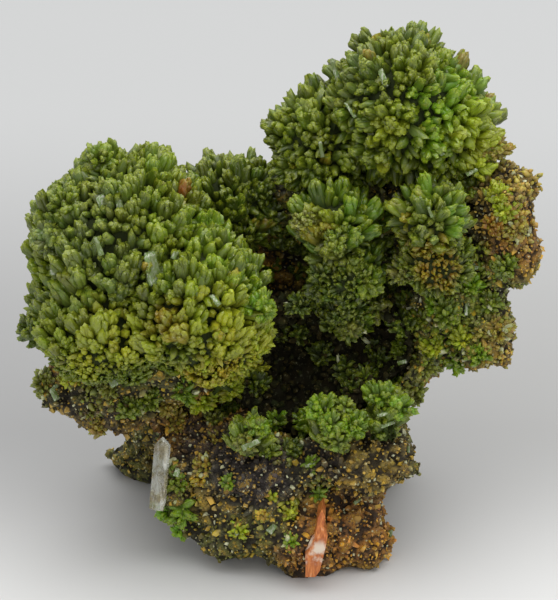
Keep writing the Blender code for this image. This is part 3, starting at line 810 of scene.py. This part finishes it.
def crowned_shape(rng, body, crown, wide, out, amount):
    """A column with a crown of smaller barrels round its top.

    body holds the column's rows, crown is how many barrels stand round it, wide their radius, out
    their distance from the middle and amount how far points are moved at random.
    """
    bm = bmesh.new()
    add_barrel(bm, body, 0.0, rng.uniform(0, 6))
    for k in range(crown):
        angle = (k + rng.uniform(-0.3, 0.3)) * 2 * math.pi / crown
        top = rng.uniform(0.74, 1.0)
        size = wide * rng.uniform(0.8, 1.15)
        rows = [(0.2, 0.7 * size, 0.7 * out), (top - 0.12, size, out), (top, 0.55 * size, 0.9 * out)]
        add_barrel(bm, rows, angle, rng.uniform(0, 6), 5)
    return jittered(bm, rng, amount)


def finger_shape(rng):
    """A stout crystal: one column that ends in several small ones."""
    body = [(0.0, 0.42, 0.0), (0.5, 0.78, 0.0), (rng.uniform(0.86, 1.0), 0.32, 0.0)]
    return crowned_shape(rng, body, int(rng.integers(4, 6)), 0.43, 0.46, 0.065)


def stout_shape(rng):
    """A large crystal with a fuller crown."""
    body = [(0.0, 0.5, 0.0), (0.45, 0.82, 0.0), (rng.uniform(0.86, 0.98), 0.34, 0.0)]
    return crowned_shape(rng, body, 6, 0.38, 0.53, 0.0434)


def knob_shape(rng):
    """A shorter crystal, as seen end-on in the small sprays."""
    body = [(0.0, 0.6, 0.0), (rng.uniform(0.85, 1.0), 0.4, 0.0)]
    return crowned_shape(rng, body, 3, 0.46, 0.44, 0.0867)


def grain_shape(rng):
    """One stubby barrel of the crusts."""
    bm = bmesh.new()
    rows = [(0.0, 0.75, 0.0), (rng.uniform(0.55, 0.75), 1.0, 0.0), (1.0, rng.uniform(0.45, 0.75), 0.0)]
    add_barrel(bm, rows, 0.0, 0.0)
    return jittered(bm, rng, 0.1735)


def crumb_shape(rng):
    """A broken angular granule of the rock."""
    bm = bmesh.new()
    bmesh.ops.create_cone(bm, cap_ends=True, segments=4, radius1=1.0, radius2=0.6, depth=1.0)
    bmesh.ops.translate(bm, vec=(0, 0, 0.5), verts=bm.verts)
    bmesh.ops.delete(bm, geom=[f for f in bm.faces if f.normal.z < -0.5], context="FACES_ONLY")
    return jittered(bm, rng, 0.3)


def mesh_tree(mesh):
    """A search tree over a mesh's faces."""
    return BVHTree.FromPolygons([v.co for v in mesh.vertices], [p.vertices for p in mesh.polygons])


def settle(patches, trees):
    """Finds where each patch of colour lies on the specimen."""
    found = []
    for pixel, reach, colour, strength in patches:
        hit = Camera.hit(pixel, trees)
        if hit is not None:
            found.append((np.array(hit[0]), reach * MM, colour, strength))
    return found


def tinted(points, colour, patches):
    """The colour at each point: a ground colour with the patches laid over it."""
    result = np.broadcast_to(colour, (len(points), 3)).copy()
    for middle, reach, tint, strength in patches:
        far = np.linalg.norm(points - middle, axis=1)
        share = (strength * (1 - smooth(far, 0.45 * reach, 1.15 * reach)))[:, None]
        result = result * (1 - share) + tint * share
    return result


def noises(points, scale, shift=0.0):
    """Smooth noise at points, from about -1 to 1; scale is the size of its lumps in millimetres."""
    step = 1 / (scale * MM)
    return np.array([noise.noise(Vector(p) * step + Vector((shift, -shift, 2 * shift))) for p in points])


def thinned(points, spacing):
    """Which points keep their distance from those before them; spacing is one distance for each."""
    cell = float(np.max(spacing))
    kept, cells = [], {}
    for i in range(len(points)):
        key = tuple(np.floor(points[i] / cell).astype(int))
        near = [j for dx in (-1, 0, 1) for dy in (-1, 0, 1) for dz in (-1, 0, 1)
                for j in cells.get((key[0] + dx, key[1] + dy, key[2] + dz), ())]
        if near:
            far = np.linalg.norm(points[near] - points[i], axis=1)
            if (far < (spacing[near] + spacing[i]) / 2).any():
                continue
        cells.setdefault(key, []).append(i)
        kept.append(i)
    return np.array(kept, int)


def spaced(spacing, points, *others):
    """The points that keep their distance, and what belongs to them."""
    kept = thinned(points, spacing)
    return [rows[kept] for rows in (points, *others)]


def outside(points, tree):
    """Which points lie outside a closed mesh."""
    result = []
    for p in points:
        near, normal, _, _ = tree.find_nearest(Vector(p))
        result.append((Vector(p) - near).dot(normal) > 0)
    return np.array(result)


def finger_radius(cluster, points):
    """How stout fingers are at these points, in metres."""
    height = points[:, 2] / MM
    share = smooth(height, cluster["low"], cluster["high"])
    return (cluster["thin"] + (cluster["stout"] - cluster["thin"]) * share) * MM


def finger_length(radius):
    """A finger's usual length for its radius."""
    return radius * FINGER_LENGTH


def spread_tips(lobes, rng):
    """Many candidate tips on the joint surface of the lobes, with the way out at each."""
    tips, outward = [], []
    for index, (centre, reach) in enumerate(lobes):
        count = int(4 * math.pi * (reach / MM) ** 2 * TIPS_PER_MM2)
        directions = unit(rng.normal(size=(count, 3)))
        points = centre + directions * reach
        clear = np.ones(count, bool)
        for other, (middle, size) in enumerate(lobes):
            if other != index:
                clear &= np.linalg.norm(points - middle, axis=1) > size * LOBE_MARGIN
        tips.append(points[clear])
        outward.append(directions[clear])
    tips, outward = np.concatenate(tips), np.concatenate(outward)
    order = rng.permutation(len(tips))
    return tips[order], outward[order]


def fanned(tips, outward, cluster):
    """Groups the tips in sheaves: crystals fan out from each sheaf's middle, and its rim lies lower."""
    pitch = cluster["sheaf"] * MM
    middles = tips[thinned(tips, np.full(len(tips), pitch))]
    nearest = np.argmin(np.linalg.norm(tips[:, None] - middles[None], axis=2), axis=1)
    aside = tips - middles[nearest]
    aside -= outward * (aside * outward).sum(axis=1, keepdims=True)
    share = aside / (0.5 * pitch)
    size = np.clip(np.linalg.norm(share, axis=1, keepdims=True), 0, 1.3)
    sway = np.stack([noises(tips, SWAY_SIZE, shift) for shift in (1.3, 5.1, 9.7)], axis=1)
    axis = unit(outward + (0, 0, cluster["lift"]) + share * FAN + sway * SWAY)
    swell = noises(tips, SWELL_SIZE, 17.0)[:, None] * SWELL
    return tips + outward * (swell - SHEAF_DIP * size ** 2) * MM, axis


def growth_of(root, axis, radius, length, body, stain, rng):
    """What Heap.grow takes, with a turn and a place in the grain of its own for every crystal."""
    count = len(root)
    return {
        "root": root, "axis": axis, "radius": radius, "length": length, "body": body, "stain": stain,
        "turn": rng.uniform(0, 6.28, count), "offset": rng.uniform(0, 40, (count, 3)),
    }


def picked(growth, mine):
    """The chosen crystals of a growth."""
    return {key: value[mine] for key, value in growth.items()}


def joined(*growths):
    """Several growths as one."""
    return {key: np.concatenate([growth[key] for growth in growths]) for key in growths[0]}


def grow_kind(heap, growth, kinds, rng):
    """Grows each crystal in one of a few shapes."""
    which = rng.integers(0, len(kinds), len(growth["radius"]))
    for number, shape in enumerate(kinds):
        if (which == number).any():
            heap.grow(shape, picked(growth, which == number))


def grow_mixed(heap, growth, shapes, rng):
    """Grows each crystal in a shape for its size."""
    floor = 0.0
    for label, limit in SIZE_LIMITS:
        chosen = (growth["radius"] >= floor * MM) & (growth["radius"] < limit * MM)
        grow_kind(heap, picked(growth, chosen), shapes[label], rng)
        floor = limit


def fingers(cluster, lobes, rng, rock_tree, patches):
    """The main crystals of a cluster."""
    tips, outward = spread_tips(lobes, rng)
    keep = outside(tips, rock_tree)
    tips, outward = tips[keep], outward[keep]
    radius = finger_radius(cluster, tips) * rng.uniform(*FINGER_RADII, len(tips))
    tips, axis = fanned(tips, outward, cluster)
    tips = tips + axis * (rng.uniform(*FINGER_SHIFTS, len(tips)) * radius)[:, None]
    tips, axis, radius = spaced(radius * cluster.get("room", FINGER_SPACING), tips, axis, radius)
    length = finger_length(radius) * rng.uniform(*FINGER_LENGTHS, len(tips))
    body = varied(tinted(tips, cluster["tint"], patches) * 0.93, 0.32, rng)
    stain = smooth(noises(tips, 5.0, 3.3) + rng.uniform(-0.4, 0.4, len(tips)), 0.5, 0.95) * 0.7
    return growth_of(tips - axis * length[:, None], axis, radius, length, body, stain, rng)


def fillers(core, main, cluster, patches, rng):
    """Small crystals on the core wherever the main ones leave it bare."""
    points, normals = surface_points(core, FILLERS_PER_MM2, rng)
    tree = KDTree(len(FILLER_PROBES) * len(main["root"]))
    for share in FILLER_PROBES:
        along = main["root"] + main["axis"] * (share * main["length"])[:, None]
        for i, p in enumerate(along):
            tree.insert(p, i)
    tree.balance()
    above = points + normals * (FILLER_HEIGHT * finger_radius(cluster, points))[:, None]
    found = [tree.find(p) for p in above]
    bare = np.array([far > FILLER_CLEARANCE * main["radius"][i] for _, i, far in found])
    points, normals = points[bare], normals[bare]
    radius = finger_radius(cluster, points) * rng.uniform(*FILLER_RADII, len(points))
    points, normals, radius = spaced(radius * FILLER_SPACING, points, normals, radius)
    axis = unit(normals + (0, 0, LIFTED * cluster["lift"]) + rng.normal(size=points.shape) * 0.25)
    length = radius * rng.uniform(*FILLER_LENGTHS, len(radius))
    body = varied(tinted(points, cluster["tint"], patches) * 0.8, 0.28, rng)
    root = points - axis * (0.25 * length)[:, None]
    return growth_of(root, axis, radius, length, body, np.zeros(len(points)), rng)


def grow_cluster(name, cluster, rng, rock_tree, patches, shapes, material):
    """The crystals of one cluster on a core coloured dark as painted shade, in as many pieces as the cluster's
    parts.
    """
    lobes = [(place(centre), reach * MM) for centre, reach in cluster["lobes"]]
    main = fingers(cluster, lobes, rng, rock_tree, patches)
    core = core_mesh(name, cluster, lobes)
    crest = roughened(core, 0.5, ground=-1.0)
    height = main["root"][:, 2]
    parts = cluster.get("parts", 1)
    which = np.searchsorted(np.quantile(height, np.linspace(0, 1, parts + 1)[1:-1]), height)
    for part in range(parts):
        heap = Heap()
        grow_mixed(heap, picked(main, which == part), shapes, rng)
        if part == 0:
            grow_kind(heap, fillers(core, main, cluster, patches, rng), shapes["grain"], rng)
            # the core: dark green, and low on the rise so the crystal shader darkens it further, as painted
            # shade between the fingers
            heap.add_mesh(core, crest * 0.2, CORE_SHADE_GREEN)
        finish_piece(heap, name + "_crystals" + ("", "_upper")[part], material, name)
    bpy.data.meshes.remove(core)


def finish_piece(heap, name, material, replaced=None, smooth_shaded=False):
    """Makes the heap a piece of the specimen, in place of a solid where one is named."""
    piece = heap.object(name, material, smooth_shaded)
    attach(piece, "root")
    if replaced:
        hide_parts(replaced)


def grow_sprouts(sprouts, trees, shapes, rng, material):
    """Small half-balls of crystals where the photograph shows them, on whatever carries them."""
    growths = []
    for pixel, reach, size, colour in sprouts:
        hit = Camera.hit(pixel, trees)
        if hit is None:
            continue
        spot, normal = np.array(hit[0]), np.array(hit[1])
        main = unit(normal + (0, -0.2, 0.5))
        count = int(2 * math.pi * reach ** 2 * TIPS_PER_MM2)
        outward = unit(rng.normal(size=(count, 3)))
        outward = outward[outward @ main > -0.25]
        swell = 1 + 0.25 * noises(spot + outward * reach * MM, 1.2 * reach)
        far = reach * MM * swell * rng.uniform(0.85, 1.05, len(outward))
        tips = spot - main * SPROUT_SINK * reach * MM + outward * far[:, None]
        radius = size * MM * rng.uniform(0.7, 1.25, len(tips))
        tips, radius, outward = spaced(radius * FINGER_SPACING, tips, radius, outward)
        axis = unit(outward + (0, 0, 0.25) + rng.normal(size=tips.shape) * 0.15)
        length = np.minimum(radius * 4.2, reach * MM)
        # a few small crystals painted cream as glints
        body = glinting(varied(np.broadcast_to(colour, tips.shape), 0.4, rng), radius, 0.05, rng)
        root = tips - axis * length[:, None]
        growths.append(growth_of(root, axis, radius, length, body, np.zeros(len(tips)), rng))
    heap = Heap()
    grow_mixed(heap, joined(*growths), shapes, rng)
    finish_piece(heap, "sprouts", material)


def set_plates(plates, trees, rng, material):
    """Pale striated prisms and chips that stand on whatever the photograph shows them on; some of the chips are
    painted highlights.
    """
    heap = Heap()
    for pixel, long, wide, thick, lean in plates:
        hit = Camera.hit(pixel, trees)
        if hit is None:
            continue
        bm = bmesh.new()
        bmesh.ops.create_cube(bm, size=1.0)
        for v in bm.verts:
            taper = PLATE_TAPER if v.co.z > 0 else 1.0
            v.co = Vector((v.co.x * wide, v.co.y * thick, v.co.z * long)) * taper
        top = next(f for f in bm.faces if f.normal.z > 0.9)
        bmesh.ops.translate(bm, vec=(0.15 * wide, 0, 0.12 * long), verts=top.verts[:2])
        bmesh.ops.bevel(bm, geom=bm.edges, offset=PLATE_BEVEL * min(wide, thick), segments=1, affect="EDGES")
        view = Matrix.Rotation(-VIEW_ELEVATION + math.radians(rng.uniform(-12, 12)), 4, "X")
        spin = Matrix.Rotation(rng.uniform(-0.5, 0.5), 4, "Z")
        turn = view @ Matrix.Rotation(math.radians(lean), 4, "Y") @ spin
        placed = Matrix.Translation(hit[0] + Camera.back * 0.25 * thick * MM) @ turn @ Matrix.Scale(MM, 4)
        bmesh.ops.transform(bm, matrix=placed, verts=bm.verts)
        mesh = meshed(bm, "plate")
        heap.add_mesh(mesh, 1.0, CREAM)
        bpy.data.meshes.remove(mesh)
    finish_piece(heap, "pale_plates", material)


def core_mesh(name, cluster, lobes):
    """The body under the fingers, coloured dark as painted shade: the lobes less most of a finger's length,
    joined in one skin.
    """
    bm = bmesh.new()
    for centre, reach in lobes:
        made = bmesh.ops.create_icosphere(bm, subdivisions=4, radius=reach)["verts"]
        points = np.array([v.co for v in made]) + centre
        sunk = finger_length(finger_radius(cluster, points)) * CORE_DEPTH
        for v, depth, point in zip(made, sunk, points):
            v.co = Vector(point) - v.co.normalized() * min(depth, CORE_DEEPEST * reach)
    return remeshed(bm, name + "_core", CORE_VOXEL)


def remeshed(bm, name, voxel):
    """A bmesh's solids joined in one even skin."""
    mesh = meshed(bm, name)
    holder = linked(name, mesh)
    skin = holder.modifiers.new("skin", "REMESH")
    skin.mode = "VOXEL"
    skin.voxel_size = voxel * MM
    result = bpy.data.meshes.new_from_object(holder.evaluated_get(bpy.context.evaluated_depsgraph_get()))
    bpy.data.objects.remove(holder)
    bpy.data.meshes.remove(mesh)
    return result


def roughened(mesh, strength, ground=0.0):
    """Pushes a skin in and out in lumps, crumbs and pits, and says how high each point stands, 0 to 1."""
    points = read(mesh.vertices, "co", 3).astype(float)
    normals = read(mesh.vertex_normals, "vector", 3)
    lumps = noises(points, LUMP_SIZE) * LUMP_HEIGHT
    pits = -smooth(noises(points, PIT_SIZE, 8.0), 0.15, 0.6) * PIT_DEPTH
    relief = np.zeros(len(points))
    for pitch, height, bend in CRUMB_RELIEF:
        step = 1 / (pitch * MM)
        warp = noises(points, pitch * 1.7, bend * 9)[:, None] * bend * pitch * MM
        for i, p in enumerate((points + warp) * step):
            near = noise.voronoi(Vector(p))[0]
            relief[i] += height * min(near[1] - near[0], 0.5) * 1.6
    push = (lumps + pits + relief - RELIEF_MIDDLE) * strength * MM
    push *= smooth(points[:, 2], ground, ground + FOOT_MARGIN)
    moved = points + normals * push[:, None]
    moved[:, 2] = np.maximum(moved[:, 2], 0)
    mesh.vertices.foreach_set("co", moved.astype(np.float32).ravel())
    mesh.update()
    return smooth(relief + pits, 0.1, 1.1)


def merged_node(name):
    """A CAD node's mesh as a bmesh with its loose triangles joined."""
    bm = bmesh.new()
    bm.from_mesh(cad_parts[name].data)
    bmesh.ops.remove_doubles(bm, verts=bm.verts, dist=0.01 * MM)
    return bm


def rough_rock():
    """The matrix with lumps, crumbs and pits. Its feet stay flat on the floor."""
    mesh = remeshed(merged_node("matrix"), "rock", ROCK_VOXEL)
    return mesh, roughened(mesh, 1.0)


def dress_rock(mesh, crest, patches, material):
    """The rough rock in its colours, in place of the solid's."""
    points = read(mesh.vertices, "co", 3).astype(float)
    heap = Heap()
    heap.add_mesh(mesh, crest, tinted(points, ground_colour(points), patches))
    finish_piece(heap, "rock", material, "matrix", smooth_shaded=True)


def surface_points(mesh, per_mm2, rng):
    """Points spread over a mesh, with the normal at each."""
    mesh.calc_loop_triangles()
    corners = read(mesh.vertices, "co", 3).astype(float)[read(mesh.loop_triangles, "vertices", 3).astype(int)]
    cross = np.cross(corners[:, 1] - corners[:, 0], corners[:, 2] - corners[:, 0])
    area = np.linalg.norm(cross, axis=1) / 2
    count = int(area.sum() / MM ** 2 * per_mm2)
    chosen = rng.choice(len(area), count, p=area / area.sum())
    u, v = rng.uniform(0, 1, (2, count))
    flip = u + v > 1
    u[flip], v[flip] = 1 - u[flip], 1 - v[flip]
    a, b, c = corners[chosen].transpose(1, 0, 2)
    return a + (b - a) * u[:, None] + (c - a) * v[:, None], unit(cross[chosen])


def ground_colour(points):
    """The rock's colour before its patches: green-brown with rusty and purple-black stretches."""
    rusty = smooth(noises(points, 11.0, 4.4), 0.1, 0.45)[:, None] * 0.7
    dark = smooth(noises(points, 9.0, 21.0), 0.1, 0.4)[:, None] * 0.8
    colour = GREEN_BROWN * (1 - rusty) + ORANGE_BROWN * rusty
    return colour * (1 - dark) + PURPLE_BLACK * dark


def glinting(body, radius, share, rng):
    """Paints a share of the smallest grains cream, as painted glints."""
    pale = (rng.uniform(0, 1, len(body)) < share) & (radius < GLINT_RADIUS * MM)
    return np.where(pale[:, None], CREAM, body)


def standing(points, normals, radius, length, lean, sink, body, rng):
    """Small crystals that stand on a surface, sunk in it by a share of their length."""
    axis = unit(normals + rng.normal(size=points.shape) * lean)
    root = points - axis * (length * sink)[:, None]
    return growth_of(root, axis, radius, length, body, np.zeros(len(points)), rng)


def varied(body, spread, rng):
    """Colours made a little lighter, darker or warmer from one crystal to the next."""
    count = len(body)
    return body * rng.uniform(1 - spread, 1 + spread, (count, 1)) * rng.uniform(0.9, 1.1, (count, 3))


def clear_of(points, lobes, share):
    """Which points lie outside the balls of crystals."""
    free = np.ones(len(points), bool)
    for centre, reach in lobes:
        free &= np.linalg.norm(points - centre, axis=1) > reach * share
    return free


def scattered(mesh, rng, free, per_mm2, size, spacing, slender):
    """Points, normals, radius and length of small crystals where a surface is free for them."""
    points, normals = surface_points(mesh, per_mm2, rng)
    mine = free(points)
    points, normals = points[mine], normals[mine]
    least, more, rarity = size
    radius = (least + more * rng.uniform(0, 1, len(points)) ** rarity) * MM
    points, normals, radius = spaced(radius * spacing, points, normals, radius)
    return points, normals, radius, radius * rng.uniform(*slender, len(points))


def grow_crumbs(mesh, rng, patches, shapes, material, lobes):
    """Angular granules scattered all over the rock, some of them bright golden, and a few painted cream as
    glints.
    """
    def free(points):
        return (points[:, 2] > 0.8 * MM) & clear_of(points, lobes, 0.86)

    points, normals, radius, length = scattered(mesh, rng, free, **CRUMBS)
    body = varied(tinted(points, ground_colour(points), patches) * 1.3, 0.55, rng)
    bright = (rng.uniform(0, 1, len(points)) < 0.35)[:, None]
    # a few small crumbs painted cream as glints
    body = glinting(np.where(bright, body * 0.6 + HONEY * 0.95, body), radius, GLINTS, rng)
    heap = Heap()
    growth = standing(points, normals, radius, length, 0.5, 0.35, body, rng)
    grow_kind(heap, growth, shapes["crumb"], rng)
    finish_piece(heap, "rock_crumbs", material)


def grow_crusts(mesh, rng, patches, zones, shapes, material, lobes):
    """Close crusts of small crystals where the rock carries them."""
    def free(points):
        covered = np.zeros(len(points))
        for middle, reach, _, strength in zones:
            far = np.linalg.norm(points - middle, axis=1)
            covered = np.maximum(covered, strength * (1 - smooth(far, 0.5 * reach, 1.1 * reach)))
        clear = (points[:, 2] > 1.5 * MM) & clear_of(points, lobes, 0.8)
        return clear & (covered + noises(points, 2.6, 6.0) * 0.5 > 0.5)

    points, normals, radius, length = scattered(mesh, rng, free, **CRUSTS)
    swell = noises(points, 2.2, 12.0) * 0.7 + noises(points, 5.0, 2.0) * 0.8
    points = points + normals * (swell * MM)[:, None]
    body = varied(tinted(points, GREEN_BROWN, patches + zones) * 1.35, 0.45, rng)
    # a few small grains painted cream as glints
    body = glinting(body, radius, GLINTS, rng)
    growth = standing(points, unit(normals + (0, 0, 0.25)), radius, length, 0.35, 0.5, body, rng)
    growth["stain"] = smooth(noises(points, 3.0, 1.0), 0.1, 0.7) * 0.5
    heap = Heap()
    grow_mixed(heap, growth, shapes, rng)
    finish_piece(heap, "rock_crusts", material)


def dress_hollow(rng, shapes, material):
    """The hollow's fine crystals, coloured dark as painted shade, on a rough copy of the solid's crust."""
    def free(points):
        return np.ones(len(points), bool)

    mesh = remeshed(merged_node("cavity_crust"), "hollow", HOLLOW_VOXEL)
    crest = roughened(mesh, 0.8)
    points, normals, radius, length = scattered(mesh, rng, free, **DRUSE)
    # painted shade: the hollow's grains and crust are coloured dark
    body = varied(np.broadcast_to(HOLLOW_SHADE, (len(points), 3)) * 1.6, 0.5, rng)
    heap = Heap()
    heap.grow(shapes["grain"][0], standing(points, normals, radius, length, 0.35, 0.4, body, rng))
    heap.add_mesh(mesh, crest * 0.5, HOLLOW_SHADE)
    finish_piece(heap, "hollow_crystals", material, "cavity_crust")


def grow_splinter(rng, material):
    """The jagged splinter on the front foot, in place of the solid's plain one."""
    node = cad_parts["orange_splinter"].data
    front = float(read(node.vertices, "co", 3)[:, 1].min()) - 0.2 * MM
    bm = bmesh.new()
    edge = []
    for pixel in SPLINTER_OUTLINE:
        above = max(Camera.through(pixel, front).z - SPLINTER_BEND * MM, 0)
        edge.append(bm.verts.new(Camera.through(pixel, front + SPLINTER_LEAN * above)))
    sheet = bm.faces.new(edge)
    copied = bmesh.ops.extrude_face_region(bm, geom=[sheet], use_keep_orig=True)["geom"]
    back = [v for v in copied if isinstance(v, bmesh.types.BMVert)]
    bmesh.ops.translate(bm, vec=(0, SPLINTER_DEPTH * MM, 0), verts=back)
    for v in bm.verts:
        v.co += Vector(rng.uniform(-SPLINTER_ROUGHNESS, SPLINTER_ROUGHNESS, 3)) * MM
        v.co.z = max(v.co.z, 0.0)
    bmesh.ops.triangulate(bm, faces=bm.faces)
    bmesh.ops.recalc_face_normals(bm, faces=bm.faces)
    mesh = meshed(bm, "splinter")
    heap = Heap()
    heap.add_mesh(mesh, 1.0, CREAM)
    bpy.data.meshes.remove(mesh)
    finish_piece(heap, "jagged_splinter", material, "orange_splinter")


def make_stage():
    """The floor under the specimen, which isn't part of it."""
    bm = bmesh.new()
    bmesh.ops.create_grid(bm, x_segments=1, y_segments=1, size=FLOOR_REACH)
    plane = linked("floor", meshed(bm, "floor"))
    plane.data.materials.append(floor_material())


def make_light():
    """A broad lamp overhead in an even white room."""
    data = bpy.data.lights.new("overhead", "AREA")
    data.shape = "DISK"
    data.size = LAMP_SIZE
    data.energy = LAMP_POWER
    aimed("overhead", data, LAMP_PLACE, LAMP_AIM - LAMP_PLACE)
    world = bpy.data.worlds.new("studio")
    world.use_nodes = True
    room = world.node_tree.nodes["Background"].inputs
    room["Color"].default_value = (1.0, 1.0, 1.0, 1)
    room["Strength"].default_value = ROOM_STRENGTH
    bpy.context.scene.world = world
    bpy.context.scene.view_settings.view_transform = "Standard"


def main():
    rng = np.random.default_rng(SEED)
    Camera.make()
    make_light()
    make_stage()
    shapes = {
        "finger": [finger_shape(rng) for _ in range(10)],
        "stout": [stout_shape(rng) for _ in range(3)],
        "knob": [knob_shape(rng) for _ in range(8)],
        "grain": [grain_shape(rng) for _ in range(4)],
        "crumb": [crumb_shape(rng) for _ in range(5)],
    }
    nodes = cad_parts
    crystal_trees = [mesh_tree(nodes[name].data) for name in CLUSTERS]
    rock, crest = rough_rock()
    rock_tree = mesh_tree(rock)
    crystal_patches = settle(CRYSTAL_PATCHES, crystal_trees)
    rock_patches = settle(ROCK_PATCHES, [rock_tree])
    zones = settle(CRUST_ZONES, [rock_tree])
    green = crystal_material()
    for name, cluster in CLUSTERS.items():
        grow_cluster(name, cluster, rng, rock_tree, crystal_patches, shapes, green)
    lobes = [(place(c), r * MM) for cluster in CLUSTERS.values() for c, r in cluster["lobes"]]
    grains = grain_material("crust_grains", 1.0, 0.0)
    grow_crumbs(rock, rng, rock_patches, shapes, grains, lobes)
    grow_crusts(rock, rng, rock_patches, zones, shapes, green, lobes)
    dress_rock(rock, crest, rock_patches, rock_material())
    dress_hollow(rng, shapes, grain_material("hollow_grains", 0.2, 1.0))
    trees = crystal_trees + [rock_tree, mesh_tree(nodes["cavity_crust"].data)]
    grow_sprouts(SPROUTS, trees, shapes, rng, green)
    set_plates(PLATES, trees, rng, plate_material())
    nodes["pale_prism"].data.materials.clear()
    nodes["pale_prism"].data.materials.append(clear_material())
    grow_splinter(rng, splinter_material())


main()
